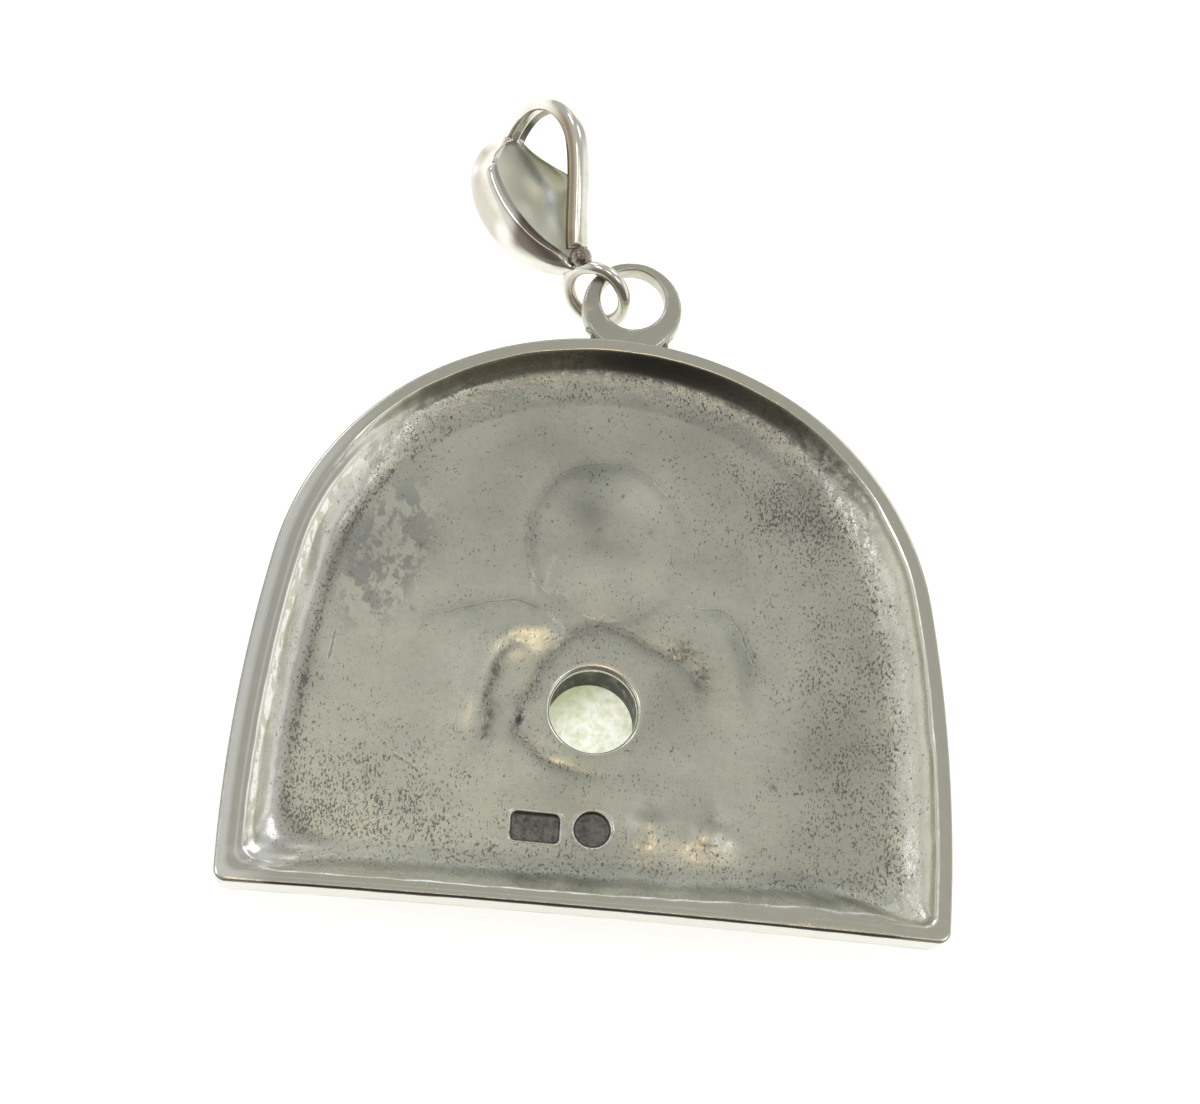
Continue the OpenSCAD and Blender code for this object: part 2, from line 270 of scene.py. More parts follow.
def hollow_floor(x, y):
    """Height of the cast floor over its flat level, its oxide, painted shade and light, and gaps to creases.

    Low swells lie behind the helm, the arms and the belt, each an oval or a band whose height falls off by an
    eased step or a bell curve; the boss round the stone's hole is set off by a shallow groove. The material
    draws a fine dark line where a crease's signed gap passes 0, as strongly as the last mask says: painted
    shade at the edges of the helm, the crease and the arms, real marks along the boss's seam and the
    scratches.
    """
    height = 0.02 * waves(x, y, 9, 3) + 0.003 * waves(x, y, 1.6, 4)
    dark = patches(x, y, DARK_PATCHES)
    # Painted shade and light: random tone, the patches above, and darker towards the right, the top and the
    # foot
    shade = 0.32 + 0.07 * waves(x, y, 6, 13) + patches(x, y, DIM_PATCHES)
    shade += 0.1 * smooth(x, 5, 12) + 0.16 * smooth(y, 17, 22) + 0.12 * fall(y, 1.5, 3.5)

    # The helm: a low swell with a crisper upper edge, and two folds under its cheek; painted shade along its
    # edge and on its left, painted light along the folds
    q = np.hypot((x - HEAD_C[0]) / HEAD_R[0], (y - HEAD_C[1]) / HEAD_R[1]) + 0.02 * waves(x, y, 5, 5)
    upper = smooth(-(x * 0.6) + (y - 16.2) * 0.8, -2.4, 1.0)
    height += 0.09 * fall(q, 0.35, 1.04) + 0.012 * fall(q, 0.94, 1.03) * upper
    height += 0.012 * fall(q, 0.86, 1.04) * fall(y, 14, 15.5) + 0.05 * spot(x, y, 1.0, 19.0, 1.3, 1.0)
    gaps = [(q - 1.0) * 3.5]
    strengths = [0.22 * upper]
    shade += 0.32 * upper * bell(q - 0.95, 0.09) + 0.12 * (q < 1) * fall(x, -2.5, 1.0) * smooth(y, 14, 17)
    shade += 0.25 * fall(y, 13.6, 14.6) * bell(q - 1.03, 0.05) * smooth(x, -0.5, 0.8)
    for fold in CHEEK_FOLDS:
        gap = near_path(x, y, fold)[0]
        height += 0.02 * bell(gap, 0.11)
        shade -= 0.4 * bell(gap, 0.09)

    # The long crease at the left shoulder, with soft painted shade along it
    gap, share, side = near_path(x, y, CREASE)
    wobble = gap * side + 0.05 * waves(x, y, 1.6, 6)
    fade = band(share, 0.02, 0.5, 0.93, 0.99)
    height += 0.03 * smooth(share, 0, 0.3) * band(-wobble, -0.3, 0.3, 0.3, 2.6) * (gap < 3)
    gaps.append(wobble)
    strengths.append(0.36 * fade)
    shade += 0.35 * bell(wobble, 0.22) * fade * (gap < 0.8)

    # The left arm: a rounded swell with a groove inside it; painted light along the swell, and a darker skin
    # with painted shade in the groove
    gap, share, side = near_path(x, y, LEFT_ARM)
    gap = gap + 0.03 * waves(x, y, 2.2, 7)
    height += 0.17 * bell(gap, np.where(side > 0, 0.8, 0.95)) * (1 - 0.85 * smooth(share, 0.7, 1.0))
    shade -= 0.4 * bell(gap, 0.3) * band(share, 0.25, 0.4, 0.7, 0.95)
    gap, share, side = near_path(x, y, ARM_GROOVE)
    sway = gap * side + 0.05 * waves(x, y, 1.4, 8)
    height -= 0.055 * bell(sway, 0.26) * fall(gap, 0.4, 1.0) * smooth(share, 0.0, 0.2)
    fade = band(share, 0.1, 0.35, 0.94, 0.995) * (gap < 2.5)
    gaps.append(sway)
    strengths.append(0.4 * fade * smooth(share, 0.6, 0.9))
    dark += 0.75 * bell(sway - 0.14, 0.2) * fade
    shade += 0.45 * bell(sway - 0.2, 0.4) * fade

    # The right arm: a broader swell whose outer edge is creased, with painted shade inside the crease
    gap, share, side = near_path(x, y, RIGHT_ARM)
    gap = gap + 0.04 * waves(x, y, 2.4, 9)
    fade = fall(share, 0.5, 1.0) * smooth(share, -0.05, 0.25)
    height += 0.12 * fade * np.where(side > 0, fall(gap, 0.5, 1.35), bell(gap, 1.35))
    edge_gap = gap * side - 1.2 + 0.05 * waves(x, y, 1.5, 19)
    gaps.append(edge_gap)
    strengths.append(0.45 * band(share, 0.2, 0.42, 0.5, 0.8))
    shade += 0.5 * bell(edge_gap + 0.25, 0.35) * fade * smooth(share, 0.3, 0.5)
    dark += 0.18 * bell(edge_gap, 0.18) * fade * smooth(share, 0.25, 0.45)

    # The boss round the stone's hole, with small dents at its left; painted shade and a darker skin along its
    # seam
    heading = np.degrees(np.arctan2(y - STONE_C[1], x - STONE_C[0]))
    reach = np.interp(heading, *BOSS.T) + 0.07 * waves(x, y, 1.5, 10)
    out = np.hypot(x - STONE_C[0], y - STONE_C[1]) - reach
    seam = np.interp(heading, *BOSS_SEAM.T)
    height += seam * (0.015 * fall(out, -0.9, 0.1) - 0.035 * bell(out, 0.3))
    dark += 0.5 * seam * bell(out, 0.2)
    shade += 0.4 * seam * bell(out, 0.4)
    gaps.append(out)
    strengths.append(0.3 * smooth(seam, 0.3, 1.0))
    for cx, cy, r, h in DENTS:
        height += h * bell(np.hypot(x - cx, y - cy), r)

    # The belt: two steep swells on a low ridge; a darker skin low on each swell and painted shade on its top
    for cx, cy, rx, h in BELT_SWELLS:
        across = bell(x - cx, rx) * (1 + 0.06 * waves(x, y, 0.9, 12))
        height += h * across * band(y, cy - 0.85, cy + 0.65, cy + 0.5, cy + 3.2)
        dark += 0.35 * across * spot(x, y, cx, cy - 0.3, rx, 0.5)
        shade += 0.42 * across * spot(x, y, cx, cy + 0.85, rx, 0.45)
    height += 0.05 * np.exp(-(((x - 3.9) / 2.2) ** 4)) * band(y, 2.1, 2.9, 2.9, 4.5)

    for scratch, strength in SCRATCHES:
        gap, share, side = near_path(x, y, scratch)
        gaps.append(gap * side)
        strengths.append(strength * band(share, 0.01, 0.2, 0.8, 0.99))
    strength = np.max([f * bell(g, 0.5) for f, g in zip(strengths, gaps)], axis=0)
    return height, dark, shade, np.stack([*(np.clip(g, -1, 1) for g in gaps), strength], axis=-1)


def sunk_marks(x, y):
    """Depth of the two plain sunk marks, 1 at their floors: a rounded oblong and a circle with soft edges."""
    oblong = np.maximum(np.abs(x - OBLONG_C[0]) / 1.0, np.abs(y - OBLONG_C[1]) / 0.6)
    circle = np.hypot(x - CIRCLE_C[0], y - CIRCLE_C[1])
    return 1 - np.minimum(smooth(oblong, 0.9, 1.06), smooth(circle, 0.7, 0.82))


# Sections of the rim and the wall of the hollow: inset from the outer edge, and height under the rim plane
RIM_SECTIONS = {
    "foot": (
        (0, -0.05), (0.05, 0), (0.26, 0), (0.3, -0.015), (0.54, -0.03), (0.64, -0.08), (0.9, -0.3),
        (1.2, -0.58), (1.55, -0.86), (1.9, -1.02), (2.3, -1.1),
    ),
    "right": (
        (0, -0.05), (0.05, 0), (0.54, 0), (0.68, -0.07), (0.86, -0.36), (1.1, -0.6), (1.4, -0.8),
        (1.75, -0.96), (2.1, -1.06), (2.5, -1.1),
    ),
    "top": (
        (0, -0.05), (0.05, 0), (0.54, 0), (0.6, -0.06), (0.72, -0.45), (0.86, -0.74), (1.05, -0.93),
        (1.3, -1.02), (1.7, -1.08), (2.1, -1.1),
    ),
    "left": (
        (0, -0.05), (0.06, -0.01), (0.14, 0), (0.54, 0), (1.02, -0.03), (1.1, -0.1), (1.2, -0.2),
        (1.4, -0.36), (1.6, -0.6), (1.85, -0.86), (2.1, -1.02), (2.45, -1.1),
    ),
}


def rim_profile(inset, shares):
    """Height under the rim plane at each inset: the four sections, eased and mixed by each side's share.

    A section is a chain of straight pieces, averaged over nearby insets so that its corners are soft, and
    softer further in. The left rim has two facets and a slower wall.
    """
    total = np.zeros(np.broadcast(inset, shares["left"]).shape)
    reach = 0.03 + 0.15 * smooth(inset, 0.75, 1.5)
    shifts = (-1, -0.5, 0, 0.5, 1)
    for key, share in shares.items():
        knots = np.array(RIM_SECTIONS[key])
        soft = reach * (0.45 if key == "left" else 1.0)
        for shift in shifts:
            total = total + share / len(shifts) * np.interp(inset + shift * soft, knots[:, 0], knots[:, 1])
    return total


# Height of the relief's flat top over the border, and how tightly its forms are joined
RELIEF_TOP = 2.47
JOIN = 14.0


def front_relief(x, y):
    """Height of the knight over the border, and how dark its recesses are, from 0 to 1.

    A bust in a closed helm with plain plate armour: the helm, shoulder plates, arms, hands and belt are ovals
    and limbs with round backs, joined by their highest points, with shallow grooves for the plate edges.
    """
    ground = -0.16 + 0.012 * waves(x, y, 0.9, 21)

    skull = np.maximum(dome(x, y, 0, 17.2, 3.25, 3.1) * 2.28, dome(x, y, 0, 14.9, 2.9, 2.5) * 2.0)
    comb = limb(x, y, (0, 13.3, 0.34, 2.5), (0, 19.6, 0.34, 2.5))[0]
    visor = smooth(np.abs(y - 17.08 + 0.05 * np.abs(x)), 0.24, 0.12) * smooth(np.abs(x), 0.45, 0.6)
    visor = visor * smooth(np.abs(x), 2.75, 2.5)
    holes = np.zeros_like(skull)
    for cx, cy in ((0.9, 15.3), (1.5, 15.55), (0.9, 14.6), (1.5, 14.85), (2.05, 15.1)):
        holes = np.maximum(holes, both(x, lambda s: fall(np.hypot(s - cx, y - cy), 0.09, 0.17)))
    seam = bell(y - 16.2 - 0.05 * x**2, 0.07) * (np.abs(x) < 3.0)
    brow = bell(y - 18.1 + 0.07 * x**2, 0.07) * (np.abs(x) < 3.0)
    collar = dome(x, y, 0, 12.7, 3.4, 1.35) * 1.95
    collar = collar - 0.1 * bell(y - 12.75 + 0.06 * x**2, 0.08)
    helm = np.maximum(skull - 0.55 * visor - 0.25 * holes - 0.08 * (seam + brow), comb)
    chest = dome(x, y, 0, 7.6, 7.2, 6.9) * 1.7
    chest = chest - 0.05 * bell(x, 0.09)
    gorget = dome(x, y, 0, 12.9, 5.3, 2.6) * 1.54
    parts = [ground, helm, collar, chest, gorget]

    def shoulder(s):
        q = np.hypot((s - 7.3) / 3.3, (y - 11.3) / 2.5)
        down = (y - 11.3) * 0.82 - (s - 7.3) * 0.45
        lames = bell(((down + 0.35) % 0.95) - 0.47, 0.07) * (down < 0.5)
        rim = bell(q - 0.8, 0.03)
        return 2.55 * ball(q) - 0.1 * lames * (q < 0.92) + 0.05 * rim

    def lower_plate(s):
        return dome(s, y, 8.5, 8.9, 2.7, 2.0) * 2.15

    def sleeve(s):
        cloak = limb(s, y, (8.0, 11.0, 3.2, 1.03), (10, 2.4, 3.0, 0.92))[0]
        folds = 0.1 * np.sin((s * 0.97 + y * 0.22) * 3.4 + 0.8 * np.sin(y * 0.6))
        return cloak + folds * (cloak > 0.15)

    def upper_arm(s):
        arm, share = limb(s, y, (8.9, 8.2, 1.9, 1.8), (8.3, 3.9, 1.7, 1.8))
        return arm - 0.07 * bell(((share * 4.3) % 1) - 0.5, 0.09) * (arm > 0.4)

    def elbow(s):
        q = np.hypot(s - 8.2, y - 3.7) / 1.9
        return 2.26 * ball(q) + 0.06 * bell(q - 0.6, 0.06)

    def forearm(s):
        arm = limb(s, y, (8, 3.8, 1.3, 2.1), (5.1, 6.4, 1.1, 2.05))[0]
        cuff = limb(s, y, (5.7, 5.9, 1.3, 2.15), (5.1, 6.5, 1.45, 2.2))[0]
        return np.maximum(arm, cuff)

    def hand(s):
        palm = limb(s, y, (4.5, 7.2, 1.1, 2.2), (3.9, 8.9, 0.9, 2.05))[0]
        across = (y - 7.2) * 0.96 + (s - 4.5) * 0.3
        fingers = 0.12 * bell(((across * 1.75) % 1) - 0.5, 0.12) * (palm > 0.3)
        return palm - fingers

    for form in (sleeve, lower_plate, shoulder, upper_arm, elbow, forearm, hand):
        parts.append(both(x, form))

    belt = limb(x, y, (-6.2, 2, 0.95, 1.75), (6.2, 2, 0.95, 1.75))[0]
    studs = bell(np.hypot(((x + 0.55) % 1.1) - 0.55, y - 2), 0.2) * (np.abs(x) > 1.4) * (np.abs(x) < 6)
    box = np.maximum(np.abs(x) / 1.1, np.abs(y - 2) / 0.9)
    buckle = fall(box, 0.93, 1.06) * 2.0 - 0.22 * fall(box, 0.55, 0.68)
    parts += [belt + 0.12 * studs * (belt > 0.5), buckle]

    stack = np.stack([np.broadcast_to(part, x.shape) for part in parts])
    peak = stack.max(axis=0)
    height = peak + np.log(np.exp((stack - peak) * JOIN).sum(axis=0)) / JOIN
    height = np.maximum(height - 0.06, ground)
    return np.minimum(height, RELIEF_TOP), 0.25 + 0.75 * fall(height, -0.1, 0.9)


SKIN_MASKS = ("oxide", "pores", "grain", "shade", "polish", "violet", "bright", "glint", "stain")
# Dark lines at the edges of the helm, the crease and the arms are painted shade; the boss's seam, the scratch
# and the nick are real marks
LINE_MASKS = ("head_line", "crease_line", "arm_line", "elbow_line", "boss_line", "scratch_line", "nick_line")
PLAQUE_MASKS = (*SKIN_MASKS, *LINE_MASKS, "line_strength")

# Insets of the rows over the rim and down the wall of the hollow
WALL_INSETS = np.concatenate([
    [0.0, 0.012, 0.03, 0.07, 0.14, 0.24, 0.29, 0.34, 0.48],
    np.arange(0.52, 0.75, 0.03),
    np.arange(0.75, 1.0, 0.05),
    np.arange(1.0, 1.5, 0.035),
    np.arange(1.5, 2.6, 0.09),
])
# Rows from the wall of the hollow to the hole, and from the bezel to the border
SPOKE_STEPS = 64
# Level of painted shade on the flat rim; radii of the hole and its lip; rows of the lip, as radius and drop,
# and of the seat and the bezel, as radius and height
RIM_SHADE = 0.35
HOLE_R = 1.83
LIP_R = 2.12
LIP = ((2.04, 0.0), (1.98, 0.008), (1.93, 0.03), (1.885, 0.07), (1.85, 0.13), (HOLE_R, 0.2))
SEAT = ((2.2, 1.2), (2.6, 1.2), (3.03, 1.2), (3.03, 1.0), (3.03, 0.75), (3.03, 0.56))
BEZEL = ((3.05, 0.51), (3.12, 0.48), (3.25, 0.48), (3.35, 0.5), (3.4, 0.56))
# Radii of the bezel's side and of the relief's start beside it
BEZEL_SIDE_R = 3.41
RELIEF_R = 3.44
# Insets and heights of the rows over the front border; the outer wall starts at the last
BORDER = np.array([
    [0.99, 2.66], [0.93, 2.6], [0.9, 2.58], [0.84, 2.57], [0.55, 2.57], [0.3, 2.57], [0.22, 2.585],
    [0.16, 2.63], [0.12, 2.69],
])


def round_stone(radius, heading):
    """Points of a circle about the stone's middle."""
    return STONE_C[0] + radius * np.cos(heading), STONE_C[1] + radius * np.sin(heading)


def wall_rows(add):
    """Adds the rim and the wall of the hollow; returns the last row's x and y and its share of the left side.

    Each side has a share at each station, eased into its neighbours. A mask is a band of insets times such
    shares: painted highlights along the facets, oxide and painted shade on the wall under the top, a painted
    reflection tone on the left facets, the pored wall foot.
    """
    inset = WALL_INSETS[:, None]
    x, y = outline(inset, 0.5 + 1.3 * smooth(inset, 0.6, 2.5))
    foot = np.where(PART == FOOT, smooth(1 - np.abs(SHARE), 0.0, 0.14), 0.0)
    left = (smooth(-x, 7.5, 11.5) * fall(y, 19.5, 22.5))[-1:] * (1 - foot)
    top = smooth(y, 18.5, 22.0)[-1:] * (1 - left) * (1 - foot)
    right = 1 - left - top - foot

    wider = 1 + 0.5 * foot * smooth(x[:1], -1, 12)
    slid = np.where(inset < 0.6 * wider, inset / wider, inset - 0.6 * (wider - 1))
    slid = slid + (0.02 * waves(x, y, 2.6, 33) + 0.012 * waves(x, y, 0.8, 34)) * smooth(inset, 0.3, 0.9)
    z = rim_profile(slid, {"foot": foot, "left": left, "top": top, "right": right})
    t = np.clip(-z / HOLLOW_DEPTH, 0, 1)
    rough_wall = band(inset, 1.0, 1.3, 2.0, 2.6) * (0.2 * foot + 0.7 * top + 0.9 * right)
    lift, dark, shade, lines = hollow_floor(x, y)
    z = z + rough_wall * 0.016 * waves(x, y, 1.7, 37) + lift * t**2

    # Oxide with painted shade on the wall under the top
    under_top = smooth(y + 0.35 * x, 20.2, 23.6)[-1:]
    top_wall_oxide_and_shade = under_top * band(inset, 0.53, 0.58, 1.02, 1.5) * (0.93 - 0.2 * smooth(x, 2, 9))
    foot_edge = foot * fall(inset, 0.07, 0.12 + 0.06 * smooth(x, 0, 12))
    pored = left * bell(inset - 2.5, 0.25)

    # Painted highlights: lines along the facets, the outer band of the left rim, strokes at the lower left
    # corner and broken lines along the foot
    facet_lines = left * (0.8 * bell(inset - 0.82, 0.04) + bell(inset - 1.06, 0.035))
    facet_lines = facet_lines + right * bell(inset - 0.6, 0.04)
    outer_band = left * band(inset, 0.06, 0.1, 0.42, 0.52)
    corner_strokes = left * (spot(x, y, -13.0, 2.2, 0.28, 2.2) + spot(x, y, -12.2, 1.25, 2.0, 0.2))
    dashes = bell(slid - 0.61, 0.05) * smooth(waves(x, y, 1.5, 40), -0.5, 0.1)
    foot_lines = foot * (dashes + 0.35 * bell(slid - 0.29, 0.03) + 0.2 * band(slid, 0.6, 0.66, 1.0, 1.15))

    # Painted glints: a broken line on the left ledge, patches on the right fillet and a patch at the upper
    # left
    ledge = left * smooth(inset, 1.14, 1.2) * fall(inset + 0.06 * waves(x, y, 3, 35), 1.34, 1.44)
    lit = right * bell(inset - 1.55, 0.3) * (bell(y - 18.4, 2.3) + bell(y - 3.2, 1.7))
    upper_left = spot(x, y, -9.6, 21.6, 1.0, 0.9) * smooth(inset, 1.15, 1.4)

    plain = fall(inset, 0.55, 0.95) * (1 - top_wall_oxide_and_shade)
    left_polish = left * (fall(inset, 1.4, 1.6) + 0.4 * fall(inset, 2.0, 2.35))
    pores = 0.35 + 0.5 * right * smooth(inset, 1.5, 2.2) + 0.1 * top + 0.3 * foot
    # Painted shade on the wall under the top, along the pored band and above the foot's fillet, with the
    # floor's shade further down; painted light on the right fillet
    dim = 0.3 * t * top + (shade - RIM_SHADE) * t + 0.35 * pored + 0.3 * foot * bell(slid - 1.5, 0.4)
    add(
        x, y, BACK_Z + z, lines,
        # Oxide, with painted shade on the wall under the top and above the foot's fillet
        oxide=dark * t + top_wall_oxide_and_shade + foot_edge + 0.35 * pored + 0.1 * foot * bell(slid - 1.6, 0.35),
        pores=t * pores * (1 - 0.5 * left) + 0.9 * pored,
        grain=0.1 + 0.7 * rough_wall + 0.25 * t,
        shade=RIM_SHADE + dim - 0.5 * right * band(inset, 0.6, 0.7, 1.3, 1.7),
        polish=np.maximum(plain, left_polish) * (1 - foot_edge),
        # A painted reflection tone on the left rim's facet and fillet
        violet=left * (0.55 * band(inset, 0.5, 0.58, 0.98, 1.04) + 0.8 * band(inset, 1.52, 1.6, 2.1, 2.4)),
        bright=facet_lines + 1.1 * outer_band + corner_strokes + foot_lines,
        glint=lit + 1.2 * ledge + upper_left,
        stain=smooth(spot(x, y, -10.3, 16.2, 2.2, 3.6), 0.2, 0.8) * smooth(inset, 2.3, 2.5),
    )
    return x[-1], y[-1], left


def floor_rows(add, start_x, start_y, heading, left):
    """Adds straight rows from the wall's foot to the lip of the stone's hole; returns the lip's height."""
    share = (np.arange(1, SPOKE_STEPS + 1) / SPOKE_STEPS)[:, None]
    lip_x, lip_y = round_stone(LIP_R, heading)
    x = start_x + (lip_x - start_x) * share
    y = start_y + (lip_y - start_y) * share
    lift, dark, shade, lines = hollow_floor(x, y)
    sunk = sunk_marks(x, y)
    z = BACK_Z - HOLLOW_DEPTH + lift * (1 - 0.6 * sunk) - MARK_DEPTH * sunk
    low_left = smooth(-x - 0.5 * y, -0.5, 7.0) * fall(y, 3, 11)
    right_side = smooth(x, 5.5, 11) * smooth(y, 1, 6)
    foot = fall(y, 1.0, 4.5)
    boss = fall(np.hypot(x - STONE_C[0], y - STONE_C[1]), 3.6, 5.2)
    upper_right = spot(x, y, 7.6, 19.4, 3.4, 2.4)
    wall_gap = share * np.hypot(start_x - STONE_C[0], start_y - STONE_C[1]) + WALL_INSETS[-1] - 2.5
    pored = left * bell(wall_gap, 0.3)
    pores = 0.15 + 0.85 * low_left + 0.6 * (right_side + foot) + 0.7 * upper_right + 0.15 * boss
    # The floor's painted shade, darker along the pored band at the left
    add(
        x, y, z, lines,
        oxide=dark + 0.35 * pored,
        pores=pores + 0.8 * dark + 0.8 * pored,
        grain=0.1 + 0.25 * right_side + 0.5 * upper_right + 0.15 * low_left + 0.1 * foot,
        shade=shade + 0.35 * pored,
        stain=smooth(spot(x - 0.25 * (y - 15.3), y, -9.2, 15.3, 1.9, 3.6), 0.15, 0.7),
    )
    return z[-1]


def seat_rows(add, heading, lip_z):
    """Adds the hole's polished lip with a painted highlight, its wall, darkened by oxide and painted shade,
    the stone's seat and the bezel.
    """
    for r, drop in LIP:
        add(*round_stone(r, heading), lip_z - drop, polish=0.8 * (r > 1.84), bright=0.7 * (1.84 < r < 1.97))
    depth = np.linspace(BACK_Z - 1.42, SEAT_Z, 13)[:, None]
    chatter = 0.003 * waves(heading * 2, depth, 0.8, 41)
    # The hole's wall is dark with oxide and painted shade
    oxide = 0.97 + 0.05 * waves(heading * 3, depth, 1.0, 43)
    add(*round_stone(HOLE_R + chatter, heading), depth, oxide=oxide, pores=0.3, grain=0.2)
    for r, level in SEAT:
        add(*round_stone(r, heading), level, oxide=0.5)
    for r, level in BEZEL:
        add(*round_stone(r, heading), level, polish=0.8)


def front_rows(add, heading):
    """Adds the relief, from the bezel out to the border, and the border itself."""
    end_x, end_y = outline(np.array([[1.05]]), np.array([[0.75]]))
    share = (np.linspace(0, 1, SPOKE_STEPS) ** 0.95)[:, None]
    start_x, start_y = round_stone(RELIEF_R, heading)
    x = start_x + (end_x - start_x) * share
    y = start_y + (end_y - start_y) * share
    height, dark = front_relief(x, y)
    bezel_z = BEZEL[-1][1]
    for part_way in (0.15, 0.5, 0.85):
        level = bezel_z + (FRONT_Z - height[0] - bezel_z) * part_way
        add(*round_stone(BEZEL_SIDE_R, heading), level, oxide=0.4 * part_way, polish=0.5)
    add(x, y, FRONT_Z - height, oxide=dark, pores=0.25, grain=0.3, polish=1 - dark)

    inset, level = BORDER[:, :1], BORDER[:, 1:]
    x, y = outline(inset, np.full_like(inset, 0.6))
    over = FRONT_Z - front_relief(x, y)[0] * smooth(inset, 0.8, 0.9)
    level = np.minimum(level, np.where(inset > 0.82, over, level))
    add(x, y, level, pores=0.15, polish=0.9)


def edge_rows(add):
    """Adds the outer wall, a little uneven, up to the rim; the wall is dark along the top of the foot, and
    the foot's wall carries a painted reflection of the floor.
    """
    level = np.concatenate([np.linspace(2.78, 3.9, 8), [3.98, 4.03, 4.08, 4.13]])[:, None]
    low, high = BORDER[-1, 1], BACK_Z - 0.05
    inset = 0.12 * (high - level) / (high - low)
    corner = np.full_like(inset, 0.5)
    x, y = outline(inset, corner)
    inset = inset + 0.006 * waves(x + y, level * 2, 2.5, 42)
    x, y = outline(np.maximum(inset, 0), corner)
    foot = np.where(PART == FOOT, 1.0, np.where(PART == CORNER, smooth(1 - SHARE, 0.3, 0.8), 0.0))
    foot_edge = foot * smooth(level, 3.97, 4.02)
    add(x, y, level, oxide=foot_edge, polish=0.85 * (1 - foot_edge), bright=0.4 * foot * (1 - foot_edge))


def plaque_rows():
    """Rows of the whole casting, each a closed ring of points, and the masks and crease gaps at each point.

    The rows run from the outer edge of the rim over the hollow to the stone's hole, down it, round the seat
    and the bezel, out over the relief to the border and up the outer wall to the start.
    """
    rows, masks = [], []

    def add(x, y, z, lines=0.0, **skin):
        """Adds rows of points with their masks; a mask that isn't given is 0."""
        shape = np.broadcast(x, y, z).shape
        values = np.stack([np.broadcast_to(skin.get(key, 0.0), shape) for key in SKIN_MASKS], axis=-1)
        lines = np.broadcast_to(lines, (*shape, len(LINE_MASKS) + 1))
        rows.append(np.stack(np.broadcast_arrays(x, y, z), axis=-1).reshape(-1, PART.size, 3))
        values = np.concatenate([np.clip(values, 0, 1), lines], axis=-1)
        masks.append(values.reshape(-1, PART.size, len(PLAQUE_MASKS)))

    start_x, start_y, left = wall_rows(add)
    heading = np.arctan2(start_y - STONE_C[1], start_x - STONE_C[0])
    lip_z = floor_rows(add, start_x, start_y, heading, left)
    seat_rows(add, heading, lip_z)
    front_rows(add, heading)
    edge_rows(add)
    return np.concatenate(rows), np.concatenate(masks)


# The flat loop: centres of its opening and its outer edge, and its height from the bottom to the top
LOOP_IN_C = (0.45, 27.9)
LOOP_OUT_C = (0.45, 27.5)
LOOP_LOW, LOOP_TOP = 3.33, 4.19
# Solder between the loop and the plaque, a fillet and then a bead at each end: paths and radii
LOOP_SOLDER = (
    (
        ((-1.25, 26.05, 3.8), (-0.6, 25.98, 3.78), (0.4, 25.95, 3.78), (1.5, 25.92, 3.78), (2.1, 25.98, 3.8)),
        (0.16, 0.3, 0.33, 0.3, 0.14),
    ),
    (((-1.5, 26.35, 3.95), (-1.32, 26.2, 3.98), (-1.1, 26.1, 3.98)), (0.07, 0.13, 0.09)),
    (((2.25, 26.3, 3.9), (2.05, 26.1, 3.97), (1.9, 26.0, 3.98)), (0.06, 0.13, 0.1)),
)


def round_turn(count):
    """Angles evenly round a circle."""
    return np.linspace(0, 2 * np.pi, count, endpoint=False)


def loop_rows(sizes, steps=150, sides=36):
    """Rows of the flat loop: a rounded oblong carried round between two circles with different centres."""
    turn = round_turn(steps)[:, None]
    around = round_turn(sides)
    across, up = (np.sign(v) * np.abs(v) ** 0.36 for v in (np.cos(around), np.sin(around)))
    inner, outer = sizes.loop_inner / MM, sizes.loop_outer / MM
    inner_x, inner_y = LOOP_IN_C[0] + inner * np.cos(turn), LOOP_IN_C[1] + inner * np.sin(turn)
    outer_x, outer_y = LOOP_OUT_C[0] + outer * np.cos(turn), LOOP_OUT_C[1] + outer * np.sin(turn)
    share = 0.5 + 0.5 * across
    x = inner_x + (outer_x - inner_x) * share
    y = inner_y + (outer_y - inner_y) * share
    top = LOOP_TOP - 0.03 * smooth(-np.cos(turn) * 0.8 - np.sin(turn), 0.2, 1.2)
    z = LOOP_LOW + (top - LOOP_LOW) * (0.5 + 0.5 * up) + 0.012 * waves(x, y, 1.2, 51) * (up > 0)
    return np.stack(np.broadcast_arrays(x, y, z), axis=-1)


def solder_rows(path, radii, seed, sides=20, uneven=0.14):
    """Rows of a solder fillet: a round section of changing radius along a path, uneven by smooth noise."""
    path = np.asarray(path, float)
    radii = np.asarray(radii, float)
    t = np.linspace(0, len(path) - 1, 8 * len(path))
    keys = np.arange(len(path))
    centre = np.stack([np.interp(t, keys, path[:, i]) for i in range(3)], axis=-1)
    radius = np.interp(t, keys, radii)
    ahead = np.gradient(centre, axis=0)
    ahead /= np.linalg.norm(ahead, axis=1, keepdims=True)
    side = np.cross(ahead, [0.0, 0.0, 1.0])
    side /= np.linalg.norm(side, axis=1, keepdims=True)
    rise = np.cross(side, ahead)
    around = round_turn(sides)
    lumpy = 1 + uneven * waves(t[:, None] * 0.9, np.cos(around)[None, :] * 1.2, 1.0, seed)
    ring = np.cos(around)[None, :, None] * side[:, None, :] + np.sin(around)[None, :, None] * rise[:, None, :]
    return centre[:, None, :] + ring * (radius[:, None] * lumpy)[..., None]


